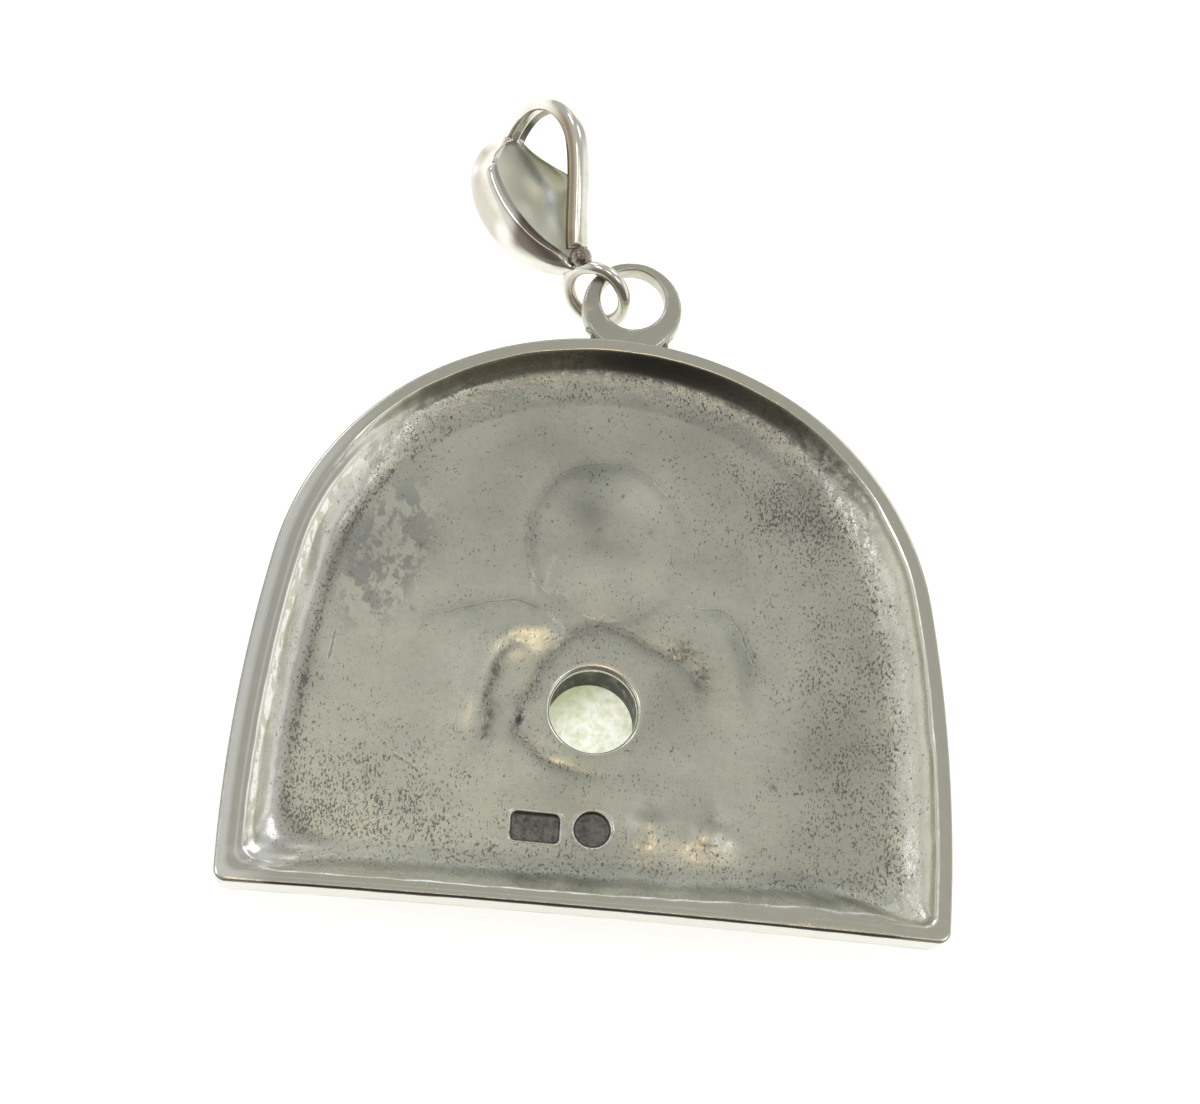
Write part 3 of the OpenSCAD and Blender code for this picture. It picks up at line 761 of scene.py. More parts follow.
# The bail as it lies: directions across the leaf, towards the strap and from the ring to the crown, its
# joint, and the three curves of its middle line
BAIL_AXES = np.array([[0.813, 0.210, -0.543], [0.558, -0.016, 0.830], [-0.165, 0.978, 0.130]])
JOINT = np.array([-2.0, 29.59, BACK_Z + 0.26])
BAIL_CURVES = (
    ((0.01, 0.31), (0.18, 2.18), (0.99, 4.31), (0.59, 5.7)),
    ((0.59, 5.7), (0.13, 7.28), (-1.94, 8.65), (-3.86, 6.9)),
    ((-3.86, 6.9), (-6.69, 4.32), (-3.24, -0.45), (-0.38, -0.27)),
)
CURVE_STEPS = (26, 40, 92)
# How much narrower the strip's inner side is, its reach over the section, and the roll of the edges
NARROWER = 0.16
INNER_REACH = 0.985
ROLL = 0.1


def bail_rows(sizes):
    """Rows of the strip that is bent round from the ring over the crown and opened into the leaf.

    Its middle line is three Bezier curves. Each section is an oblong with rounded edges; over the third curve
    it widens and its edges turn inwards by 1 - (1 - |u|^3)^(1/3), u the share of the half width. The masks
    give the satin inside, tarnish and painted reflections on the strap's side and the leaf's outer facet,
    painted shadow near the joint, a painted blue-grey reflection along the keel and painted highlights on the
    edges.
    """
    strap_half, strap_thick = sizes.strap_half / MM, sizes.strap_thick / MM
    leaf_half, leaf_depth = sizes.leaf_half / MM, sizes.leaf_depth / MM
    ends, headings, opened, along = [], [], [], []
    for k, (curve, steps) in enumerate(zip(BAIL_CURVES, CURVE_STEPS)):
        a, b, c, d = (np.array(p) for p in curve)
        t = np.linspace(0, 1, steps + 1)[(1 if k else 0):]
        t = t**1.5 if k == 2 else t
        s = t[:, None]
        ends.append((1 - s) ** 3 * a + 3 * (1 - s) ** 2 * s * b + 3 * (1 - s) * s**2 * c + s**3 * d)
        way = (1 - s) ** 2 * (b - a) + 2 * (1 - s) * s * (c - b) + s**2 * (d - c)
        headings.append(way / np.linalg.norm(way, axis=1, keepdims=True))
        spread = np.clip(np.sin(np.pi * t**0.6), 0, 1) ** 0.75 * smooth(t, -0.03, 0.07)
        opened.append(spread if k == 2 else np.zeros(t.size))
        along.append(t + k)
    middle = np.concatenate(ends)
    heading = np.concatenate(headings)
    opened = np.concatenate(opened)[:, None]
    inward = np.stack([-heading[:, 1], heading[:, 0]], axis=-1)
    half = strap_half + (leaf_half - strap_half) * opened
    depth = strap_thick + (leaf_depth - strap_thick) * opened

    def bow(u):
        return 1 - (1 - np.abs(u) ** 3) ** (1 / 3)

    outer = np.sin(np.linspace(0.5, -0.5, 27) * np.pi)
    inner = np.sin(np.linspace(-0.5, 0.5, 23) * np.pi) * INNER_REACH
    across = np.concatenate([half * outer, (half - NARROWER) * inner], axis=1)
    up_outer = depth * bow(outer) - strap_thick / 2 + ROLL * (1 - opened) * np.abs(outer) ** 6

    def inner_up(u):
        return strap_thick / 2 + (depth - strap_thick) * bow(u) - ROLL * np.abs(u) ** 6

    up_inner = inner_up(inner)
    up = np.concatenate([up_outer, up_inner], axis=1)
    flat = middle[:, None, :] + inward[:, None, :] * up[..., None]
    local = np.concatenate([across[..., None], flat], axis=-1)
    points = JOINT + local @ BAIL_AXES

    along = np.concatenate(along)[:, None]
    t = along - 2
    edge = np.concatenate([-outer, np.zeros(inner.size)])[None, :]
    inside = np.concatenate([np.zeros(outer.size), 1 - np.abs(inner) ** 12]) * smooth(opened, 0.1, 0.5)
    # Tarnish and painted reflections on the strap's side and the leaf's outer facet, painted shadow near the
    # joint, painted highlights as sparks and a thin line along the edges, and a painted reflection along the
    # keel
    strap_side = smooth(-np.concatenate([outer, inner]), 0.8, 0.93) * smooth(-t, 0.5, 0.95)
    facet = band(edge, 0.72, 0.8, 0.975, 0.995) * band(t, 0.02, 0.08, 0.56, 0.66)
    shadow = smooth(edge, 0.84, 0.95) * band(t, 0.66, 0.74, 0.97, 1.0)
    sparks = sum(spot(t, edge, a, b, 0.035, 0.035) for a, b in ((0.2, 0.93), (0.62, 0.92)))
    keel_u = np.interp(t, [0, 0.02, 0.2, 0.5, 0.75, 1], [0.3, 0.45, 0.8, 0.9, 0.92, 0.5])
    keel_flat = np.concatenate([(half - NARROWER) * keel_u, middle + inward * inner_up(keel_u)], axis=-1)
    keel_gap = np.linalg.norm(points - (JOINT + keel_flat @ BAIL_AXES)[:, None, :], axis=-1)
    keel = bell(keel_gap, 0.26) * inside
    brim = np.concatenate([np.abs(outer), np.abs(inner) / INNER_REACH]) > 0.996
    brim = brim * smooth(t, 0.12, 0.2) * (t < 0.97)
    masks = {
        "satin": inside,
        "tarnish_and_reflection": np.clip(strap_side + (0.62 - 0.2 * smooth(t, 0.05, 0.2)) * facet, 0, 1) * (1 - brim),
        "shadow": np.maximum(shadow, 0.4 * strap_side * (t < -1.85)),
        "keel": keel * band(t, 0.0, 0.05, 0.7, 0.9),
        "bright": np.clip(sparks + 0.8 * brim, 0, 1),
    }
    return points, masks


RING_C = np.array([-1.11, 28.37, BACK_Z - 0.86])
RING_AXIS = np.array([-0.429, -0.814, 0.392])


def ring_rows(sizes, steps=110, sides=22):
    """Rows of the wire ring: a circle carried round a larger circle, a torus, with slight drawing marks."""
    axis = RING_AXIS / np.linalg.norm(RING_AXIS)
    first = np.cross(axis, [0.0, 0.0, 1.0])
    first /= np.linalg.norm(first)
    second = np.cross(axis, first)
    turn = round_turn(steps)[:, None]
    around = round_turn(sides)[None, :]
    wire = sizes.wire_radius / MM * (1 + 0.012 * waves(turn * 3, around, 2.0, 61))
    reach = sizes.ring_radius / MM + wire * np.cos(around)
    flat = reach * np.cos(turn), reach * np.sin(turn), wire * np.sin(around)
    return RING_C + flat[0][..., None] * first + flat[1][..., None] * second + flat[2][..., None] * axis


def turned_rows(profile, centre, steps=96):
    """Rows of a turned form: a profile of radius and height carried round an upright line at the centre."""
    turn = round_turn(steps)
    profile = np.asarray(profile, float)
    r, z = profile[:, :1], profile[:, 1:]
    x, y = centre[0] + r * np.cos(turn), centre[1] + r * np.sin(turn)
    return np.stack([x, y, np.broadcast_to(z, x.shape)], axis=-1)


# Gap between the stone and its seat, and the stone's thickness
STONE_GAP = 0.03
STONE_THICK = 1.1


def stone_profile(sizes):
    """Radius and height down the cabochon: flat back, rounded girdle, then a dome that is part of a ball."""
    wide, high = sizes.stone_radius / MM, sizes.stone_dome / MM
    dome_r = (wide**2 + high**2) / (2 * high)
    low = SEAT_Z - STONE_GAP - STONE_THICK
    r = (wide - 0.06) * np.sin(np.linspace(np.pi / 2, 0, 26))[1:-1]
    curve = low + dome_r - np.sqrt(dome_r**2 - r**2)
    back = [(r, 1.17) for r in (0.4, 1.0, 1.6, 2.1, 2.6)] + [(wide - 0.1, 1.165), (wide - 0.03, 1.14)]
    girdle = [(wide, 1.1), (wide, 0.98), (wide, 0.88), (wide - 0.02, 0.8)]
    return back + girdle + list(zip(r, curve))


def shell(rows, closed=False):
    """Points and faces of a closed surface from rows of points, each row a ring.

    closed joins the last row to the first; otherwise a fan about its middle closes each end. The faces are
    turned outwards by the sign of the volume, the sum over the faces of p . (q x r) / 6.
    """
    count, ring = rows.shape[:2]
    index = np.arange(count * ring).reshape(count, ring)
    after = np.roll(index, -1, axis=1)
    low, high = (index, np.roll(index, -1, axis=0)) if closed else (index[:-1], index[1:])
    low_after, high_after = (after, np.roll(after, -1, axis=0)) if closed else (after[:-1], after[1:])
    quads = np.stack([low, low_after, high_after, high], axis=-1).reshape(-1, 4)
    points = rows.reshape(-1, 3)
    tris = np.zeros((0, 3), int)
    if not closed:
        points = np.concatenate([points, rows[[0, -1]].mean(axis=1)])
        first = np.stack([after[0], index[0], np.full(ring, count * ring)], axis=-1)
        last = np.stack([index[-1], after[-1], np.full(ring, count * ring + 1)], axis=-1)
        tris = np.concatenate([first, last])
    a, b, c, d = (points[quads[:, i]] for i in range(4))
    volume = np.einsum("ij,ij->", a, np.cross(b, c)) + np.einsum("ij,ij->", a, np.cross(c, d))
    e, f, g = (points[tris[:, i]] for i in range(3))
    volume += np.einsum("ij,ij->", e, np.cross(f, g))
    if volume < 0:
        quads, tris = quads[:, ::-1], tris[:, ::-1]
    return points, quads, tris


def make_piece(name, shells, material, node, masks=None):
    """Makes one object from closed shells in millimetres, at the origin, riding on the root body; hides its
    node's CAD part.
    """
    first = 0
    points, corners, sizes = [], [], []
    for p, quads, tris in shells:
        points.append(p)
        corners += [(quads + first).ravel(), (tris + first).ravel()]
        sizes += [np.full(len(quads), 4), np.full(len(tris), 3)]
        first += len(p)
    points = np.concatenate(points)
    points = (points - [0, LENGTH_MID_Y, 0]) * MM
    corners = np.concatenate(corners)
    sizes = np.concatenate(sizes)
    mesh = bpy.data.meshes.new(name)
    mesh.vertices.add(len(points))
    mesh.vertices.foreach_set("co", points.astype(np.float32).ravel())
    mesh.loops.add(len(corners))
    mesh.loops.foreach_set("vertex_index", corners.astype(np.int32))
    mesh.polygons.add(len(sizes))
    mesh.polygons.foreach_set("loop_start", (np.cumsum(sizes) - sizes).astype(np.int32))
    mesh.polygons.foreach_set("use_smooth", np.ones(len(sizes), bool))
    mesh.update(calc_edges=True)
    if mesh.validate():
        raise RuntimeError(name + " has faulty faces")
    for key, values in (masks or {}).items():
        attribute = mesh.attributes.new(key, "FLOAT", "POINT")
        padded = np.zeros(len(points), np.float32)
        padded[: values.size] = values.ravel()
        attribute.data.foreach_set("value", padded)
    obj = bpy.data.objects.new(name, mesh)
    bpy.context.scene.collection.objects.link(obj)
    mesh.materials.append(material)
    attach(obj, "root")
    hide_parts(node)


class Value:
    """An output of a shader node. A sum, difference or product with it becomes a Math node of its tree."""

    def __init__(self, socket):
        self.socket = socket
        self.tree = socket.id_data

    def __add__(self, other):
        return maths("ADD", self, other)

    def __sub__(self, other):
        return maths("SUBTRACT", self, other)

    def __rsub__(self, other):
        return maths("SUBTRACT", other, self)

    def __mul__(self, other):
        return maths("MULTIPLY", self, other)


def put(socket, value):
    """Links a value to an input, or sets the input to a constant."""
    if isinstance(value, Value):
        value.tree.links.new(value.socket, socket)
    else:
        socket.default_value = value


def maths(operation, *inputs):
    """The result of a Math node; at least one input is a value, the others are numbers."""
    tree = next(value.tree for value in inputs if isinstance(value, Value))
    node = tree.nodes.new("ShaderNodeMath")
    node.operation = operation
    for socket, value in zip(node.inputs, inputs):
        put(socket, value)
    return Value(node.outputs[0])


most = partial(maths, "MAXIMUM")
unsigned = partial(maths, "ABSOLUTE")


def clamped(value):
    """A Math node's result, kept between 0 and 1."""
    value.socket.node.use_clamp = True
    return value


def blend(share, a, b):
    """The colour of a Mix node; a and b are values or colours."""
    node = share.tree.nodes.new("ShaderNodeMix")
    node.data_type = "RGBA"
    put(node.inputs["Factor"], share)
    for socket, value in ((node.inputs[6], a), (node.inputs[7], b)):
        put(socket, value if isinstance(value, Value) else (*value, 1))
    return Value(node.outputs[2])


def ramp(value, low, high, to_low=0.0, to_high=1.0):
    """A value taken from one range to another by an eased step, through a Map Range node."""
    node = value.tree.nodes.new("ShaderNodeMapRange")
    node.interpolation_type = "SMOOTHSTEP"
    keys = ("Value", "From Min", "From Max", "To Min", "To Max")
    for key, bound in zip(keys, (value, low, high, to_low, to_high)):
        put(node.inputs[key], bound)
    return Value(node.outputs["Result"])


def object_place(tree):
    """Coordinates in the object's own frame."""
    return Value(tree.nodes.new("ShaderNodeTexCoord").outputs["Object"])


def scaled(where, stretch=(1, 1, 1), shift=(0, 0, 0)):
    """Coordinates in metres taken to millimetres by a Mapping node, then stretched and shifted."""
    node = where.tree.nodes.new("ShaderNodeMapping")
    node.inputs["Scale"].default_value = [s / MM for s in stretch]
    node.inputs["Location"].default_value = shift
    put(node.inputs["Vector"], where)
    return Value(node.outputs[0])


def noise(where, scale, detail, rough, stretch=(1, 1, 1), seed=0.0):
    """Noise with so many features to the millimetre."""
    node = where.tree.nodes.new("ShaderNodeTexNoise")
    vector = scaled(where, stretch, (seed, seed * 0.7, seed * 1.3))
    for key, value in (("Vector", vector), ("Scale", scale), ("Detail", detail), ("Roughness", rough)):
        put(node.inputs[key], value)
    return Value(node.outputs["Fac"])


def new_group(name, inputs, outputs):
    """An empty shader group, the values of its number inputs with their defaults, and its end's inputs."""
    tree = bpy.data.node_groups.new(name, "ShaderNodeTree")
    for key, default in inputs.items():
        socket = tree.interface.new_socket(name=key, in_out="INPUT", socket_type="NodeSocketFloat")
        socket.default_value = default
    for key in outputs:
        tree.interface.new_socket(name=key, in_out="OUTPUT", socket_type="NodeSocketFloat")
    start = tree.nodes.new("NodeGroupInput").outputs
    return tree, {key: Value(start[key]) for key in inputs}, tree.nodes.new("NodeGroupOutput").inputs


def pore_group():
    """Casting pores: fine noise cut off at a level that falls as Density rises, a coarser set, a few pits."""
    tree, start, end = new_group("Casting pores", {"Density": 0.4}, ("Mask", "Height"))
    where = object_place(tree)
    fine = noise(where, 12.5, 2.0, 0.6, stretch=(1, 0.5, 1), seed=3.1)
    coarse = noise(where, 6.5, 3.0, 0.6, stretch=(1, 0.7, 1), seed=5.9)
    drift = noise(where, 0.8, 2.0, 0.5, seed=1.4)
    density = start["Density"] + ramp(drift, 0.3, 0.7, -0.25, 0.25)
    small = ramp(fine - (0.68 - density * 0.135), 0.0, 0.06)
    middle = ramp(coarse - (0.74 - density * 0.12), 0.0, 0.05)
    cells = tree.nodes.new("ShaderNodeTexVoronoi")
    put(cells.inputs["Scale"], 1.3)
    put(cells.inputs["Vector"], scaled(where, (1, 0.8, 1)))
    lot = tree.nodes.new("ShaderNodeSeparateColor")
    put(lot.inputs[0], Value(cells.outputs["Color"]))
    room = ramp(Value(lot.outputs[0]), 0.6, 1.0) * 0.11 * (density + 0.45)
    large = ramp(room - Value(cells.outputs["Distance"]), 0.0, 0.04)
    pores = most(most(small, middle), large)
    put(end["Mask"], pores)
    put(end["Height"], pores * -1.0)
    return tree


def satin_group():
    """Satin finish: fine grain, faint upright polishing lines and broad clouds, as heights and tones."""
    tree, start, end = new_group("Satin finish", {"Grain": 0.5, "Lines": 0.5}, ("Tone", "Height", "Streak"))
    where = object_place(tree)
    grain = noise(where, 6.0, 4.0, 0.65, seed=7.7)
    lines = noise(where, 1.0, 3.0, 0.6, stretch=(9, 0.9, 3), seed=2.2)
    clouds = noise(where, 0.28, 3.0, 0.55, seed=5.5)
    put(end["Tone"], ramp(clouds, 0.32, 0.68))
    put(end["Height"], grain * start["Grain"] + lines * start["Lines"])
    put(end["Streak"], ramp(lines, 0.62, 0.78))
    return tree


def shader(name, **values):
    """A material, its tree and the inputs of its Principled BSDF, some of them set to the given values."""
    material = bpy.data.materials.new(name)
    material.use_nodes = True
    inputs = material.node_tree.nodes["Principled BSDF"].inputs
    for key, value in values.items():
        put(inputs[key], value)
    return material, material.node_tree, inputs


def place_group(tree, group, **values):
    """The outputs of a group node with its input values."""
    node = tree.nodes.new("ShaderNodeGroup")
    node.node_tree = group
    for key, value in values.items():
        put(node.inputs[key], value)
    return {output.name: Value(output) for output in node.outputs}


def mask(tree, name):
    """One of the mesh's own masks."""
    node = tree.nodes.new("ShaderNodeAttribute")
    node.attribute_name = name
    return Value(node.outputs["Fac"])


def bump(height, depth, normal):
    """Feeds a shader's Normal input from a height through a Bump node, with its depth in metres."""
    node = height.tree.nodes.new("ShaderNodeBump")
    for key, value in (("Distance", depth), ("Strength", 1.0), ("Height", height)):
        put(node.inputs[key], value)
    put(normal, Value(node.outputs[0]))


def mark_masks(where):
    """1 inside the two plain sunk marks, by their distance functions, and 1 along their edges."""
    split = where.tree.nodes.new("ShaderNodeSeparateXYZ")
    put(split.inputs[0], scaled(where))
    x, y, z = (Value(output) for output in split.outputs)
    gaps = []
    for (cx, cy), half_x, half_y, radius in ((OBLONG_C, 0.75, 0.36, 0.26), (CIRCLE_C, 0.0, 0.0, 0.75)):
        across = most(unsigned(x - cx) - half_x, 0.0)
        along = most(unsigned(y - (cy - LENGTH_MID_Y)) - half_y, 0.0)
        gaps.append(maths("SQRT", across * across + along * along) - radius)
    gap = maths("MINIMUM", *gaps)
    floor = ramp(gap, -0.06, 0.03, 1.0, 0.0) * ramp(z, 2.6, 2.8)
    edge = ramp(unsigned(gap - 0.05), 0.0, 0.07, 1.0, 0.0) * ramp(z, 2.6, 2.8)
    return floor, edge


def cast_silver(finish, groups):
    """Satin cast silver: pores, a darkened skin of oxide and painted shade in creases, streaks, a speckled
    stain, a smoother rim, and painted lit and shaded tones, highlights, glints and a reflection tone on
    facets.
    """
    material, tree, inputs = shader("Cast silver", Metallic=1.0)
    where = object_place(tree)
    masks = [mask(tree, key) for key in SKIN_MASKS]
    oxide, density, grain, shade, polish, violet, bright, glint, stain = masks
    pores = place_group(tree, groups["pores"], Density=density)
    satin = place_group(tree, groups["satin"], Grain=grain * 1.2, Lines=0.12)
    speckle = noise(where, 3.2, 6.0, 0.75, seed=9.4)
    blotch = noise(where, 0.75, 6.0, 0.72, stretch=(1, 0.7, 1), seed=12.9)
    flicker = noise(where, 3.4, 4.0, 0.65, stretch=(1, 0.35, 1), seed=2.7)
    # Dark lines: painted shade at the edges of swells, and real marks at the boss's seam and the scratches
    fray = (speckle - 0.5) * 0.22
    near = [ramp(unsigned(mask(tree, key)) + fray, 0.0, 0.1, 1.0, 0.0) for key in LINE_MASKS]
    line = reduce(most, near) * mask(tree, "line_strength")
    sunk, burr = mark_masks(where)

    # Painted shade mixes the lit and the shaded tone, with random clouds
    dim = clamped(shade + (satin["Tone"] - 0.5) * -0.3)
    # Painted glints, broken up by noise
    glint = glint * ramp(flicker, 0.47, 0.54)
    silver = blend(dim, finish.silver_light, finish.silver_shade)
    # Over the silver: a stain, the smoother rim, a painted reflection tone on facets, and painted highlights
    # with the burnished edges of the marks
    for share, colour in (
        (stain * ramp(blotch, 0.47, 0.52) * 0.62, finish.stain_colour),
        (polish, finish.rim_colour),
        (violet, finish.reflection_colour),
        (clamped(most(most(bright, burr * 0.5), glint)), finish.highlight_and_burnish_colour),
    ):
        silver = blend(share, silver, colour)

    # The darkened skin: oxide and painted shade, pores, streaks, and the dark lines of painted shade and real
    # marks
    skin = most(clamped(oxide * ramp(speckle, 0.36, 0.6)), ramp(oxide, 0.55, 1.0))
    streak = satin["Streak"] * (density * 0.4)
    dirt_and_shade = most(most(most(pores["Mask"] * 0.72, streak), skin * 0.97), line) * (1.0 - polish * 0.9)
    dirt_and_shade = clamped(most(dirt_and_shade, sunk * ramp(speckle, 0.3, 0.65, 1.0, 0.72)))
    put(inputs["Base Color"], blend(dirt_and_shade, silver, finish.oxide_colour))
    rough = ramp(speckle, 0.25, 0.75, finish.satin_roughness - 0.05, finish.satin_roughness + 0.07)
    put(inputs["Roughness"], clamped(rough - most(polish, glint) * 0.08 + dirt_and_shade * 0.25))
    height = satin["Height"] + pores["Height"] * 1.3 - line * 1.2
    bump(height * (1.0 - polish * 0.93) - sunk * 2.5 + burr * 0.8, 0.00003, inputs["Normal"])
    return material


def soldered_silver(finish, groups):
    """Duller silver of the loop and its solder: grey skin, soft mottling and fine grain, darkened where its
    mask says by tarnish, with painted shade in the solder's groove.
    """
    material, tree, inputs = shader("Soldered silver", Metallic=1.0)
    satin = place_group(tree, groups["satin"], Grain=0.35, Lines=0.1)
    mottle = noise(object_place(tree), 1.3, 4.0, 0.6, seed=4.4)
    silver = blend(ramp(mottle, 0.4, 0.7, 0.3, 0.65), finish.rim_colour, finish.loop_colour)
    put(inputs["Base Color"], blend(mask(tree, "oxide") * 0.85, silver, finish.oxide_colour))
    put(inputs["Roughness"], ramp(mottle, 0.3, 0.7, 0.22, 0.36))
    bump(satin["Height"], 0.00002, inputs["Normal"])
    return material


def polished_silver(finish, groups):
    """Bright silver of the bail and ring, tarnished in soft patches, with a satin skin inside the leaf,
    painted reflections, a painted shadow near the joint and painted highlights on the edges.
    """
    material, tree, inputs = shader("Polished silver", Metallic=1.0)
    inside = mask(tree, "satin")
    satin = place_group(tree, groups["satin"], Grain=inside * 0.3 + 0.05, Lines=0.1)
    patch = noise(object_place(tree), 0.55, 3.0, 0.5, seed=6.1)
    colour = blend(ramp(patch, 0.45, 0.75, 0.0, 0.45), finish.bail_colour, finish.bail_tarnish_and_reflection)
    # Over the silver: the satin inside, tarnish and painted reflections, painted highlights, a painted
    # reflection along the keel and a painted shadow near the joint
    for share, layer in (
        (inside, finish.leaf_colour),
        (mask(tree, "tarnish_and_reflection"), finish.bail_tarnish_and_reflection),
        (mask(tree, "bright"), finish.highlight_and_burnish_colour),
        (mask(tree, "keel") * 0.75, finish.keel_reflection_colour),
        (mask(tree, "shadow") * 0.85, finish.joint_shadow_colour),
    ):
        colour = blend(share, colour, layer)
    put(inputs["Base Color"], colour)
    low = finish.bail_roughness
    put(inputs["Roughness"], ramp(patch, 0.35, 0.75, low, low + 0.08) + inside * 0.3)
    bump(satin["Height"], 0.00002, inputs["Normal"])
    return material


def pale_stone(finish):
    """Cloudy pale green stone: soft mottling, small darker specks, a polished face, a painted shadow of the
    hole's wall towards its upper left, and a painted glow for the light that comes through it.
    """
    material, tree, inputs = shader("Pale green stone", Roughness=0.22, IOR=1.54)
    where = object_place(tree)
    clouds = noise(where, 2.0, 5.0, 0.7, seed=8.3)
    specks = noise(where, 4.2, 4.0, 0.7, seed=1.9)
    body = blend(ramp(clouds, 0.33, 0.62), finish.stone_colour, finish.stone_light)
    # A painted shadow of the hole's wall, towards the stone's upper left
    body = blend(mask(tree, "wall_shadow") * 0.7, body, finish.stone_wall_shadow)
    body = blend(ramp(specks, 0.58, 0.7, 0.0, 0.45), body, finish.stone_speck)
    put(inputs["Base Color"], body)
    # A painted glow: the stone gives off its own colour for the light that comes through it
    put(inputs["Emission Color"], body)
    put(inputs["Emission Strength"], finish.stone_painted_glow)
    put(inputs["Coat Weight"], 0.3)
    return material


def length(name, description, default, low, high):
    """A length in metres, shown to the hundredth of a millimetre."""
    return FloatProperty(
        name=name, description=description, default=default, min=low, max=high, precision=5, unit="LENGTH",
        subtype="DISTANCE",
    )


def tint(name, description, default, high=1):
    """A colour."""
    return FloatVectorProperty(
        name=name, description=description, default=default, min=0, max=high, subtype="COLOR",
    )


class PendantSizes(PropertyGroup):
    """Driving sizes of the loop, ring, bail and stone, in metres."""

    loop_outer: length("Loop outside", "Radius of the flat loop's outer edge", 0.00217, 0.0015, 0.003)
    loop_inner: length("Loop inside", "Radius of the flat loop's opening", 0.0014, 0.001, 0.0014)
    ring_radius: length("Ring", "Radius of the ring to the middle of its wire", 0.00137, 0.0013, 0.0015)
    wire_radius: length("Wire", "Radius of the ring's wire", 0.0003, 0.0002, 0.0003)
    strap_half: length("Strap half width", "Half the width of the bail's strap", 0.00046, 0.0003, 0.0006)
    strap_thick: length("Strap thickness", "Thickness of the bail's strap", 0.00058, 0.0004, 0.0006)
    leaf_half: length("Leaf half width", "Half the width of the opened leaf", 0.00259, 0.002, 0.0026)
    leaf_depth: length(
        "Leaf depth", "How far the leaf's edges stand in from its keel", 0.00323, 0.002, 0.0033
    )
    stone_radius: length("Stone", "Radius of the round cabochon", 0.003, 0.0025, 0.003)
    stone_dome: length("Stone dome", "Height of the cabochon's dome", 0.0008, 0.0004, 0.0009)


class PendantFinish(PropertyGroup):
    """Colours and finishes of the pendant."""

    # Painted lit and shaded tones of the cast silver, mixed by the painted shade mask
    silver_light: tint("Silver light", "Lighter tone of the cast silver", (0.73, 0.735, 0.63))
    silver_shade: tint("Silver shade", "Darker tone of the cast silver", (0.38, 0.385, 0.345))
    # Painted highlights, and the burnished edges of the sunk marks
    highlight_and_burnish_colour: tint(
        "Bright edges", "Burnished silver of thin edges and of the wall at the foot", (0.95, 0.95, 0.92)
    )
    rim_colour: tint("Rim", "Smoother silver of the rim and the outer wall", (0.64, 0.635, 0.54))
    # A painted reflection tone on the left rim's facet and fillet
    reflection_colour: tint("Facet", "Greyer facet inside the left rim", (0.64, 0.62, 0.59))
    # Oxide in pores and creases, also the colour of painted shade
    oxide_colour: tint("Oxide", "Darkened skin in pores and creases", (0.09, 0.087, 0.092))
    loop_colour: tint("Loop skin", "Grey-green skin of the soldered loop", (0.49, 0.49, 0.42))
    bail_colour: tint("Bail", "Polished silver of the bail and its ring", (0.84, 0.83, 0.76))
    leaf_colour: tint("Leaf inside", "Satin silver inside the leaf", (0.84, 0.85, 0.74))
    # Tarnish patches, and the colour of painted reflections on the strap and the leaf
    bail_tarnish_and_reflection: tint("Bail tarnish", "Faint tarnish on the bail", (0.33, 0.27, 0.19))
    # A painted reflection along the leaf's keel
    keel_reflection_colour: tint("Leaf keel", "Blue-grey line along the bend of the leaf", (0.4, 0.46, 0.5))
    # A painted shadow near the joint
    joint_shadow_colour: tint("Joint tarnish", "Dark brown tarnish near the joint", (0.16, 0.12, 0.09))
    stain_colour: tint("Stain", "Grey patches at the left of the hollow", (0.3, 0.31, 0.31))
    stone_colour: tint("Stone", "Body of the stone", (0.7, 0.74, 0.52))
    stone_light: tint("Stone light", "Paler clouds in the stone", (0.95, 0.97, 0.88))
    # A painted shadow of the hole's wall on the stone
    stone_wall_shadow: tint("Stone shade", "Yellower part of the stone towards its upper left", (0.36, 0.41, 0.17))
    stone_speck: tint("Stone specks", "Small specks in the stone", (0.38, 0.4, 0.26))
    satin_roughness: FloatProperty(
        name="Satin roughness", description="Roughness of the cast silver",
        default=0.28, min=0.1, max=0.8, subtype="FACTOR",
    )
    bail_roughness: FloatProperty(
        name="Bail roughness", description="Roughness of the polished bail",
        default=0.14, min=0.02, max=0.5, subtype="FACTOR",
    )
    # A painted glow standing in for the light that comes through the stone
    stone_painted_glow: FloatProperty(
        name="Stone glow", description="Light that comes through the stone", default=0.68, min=0, max=1,
    )


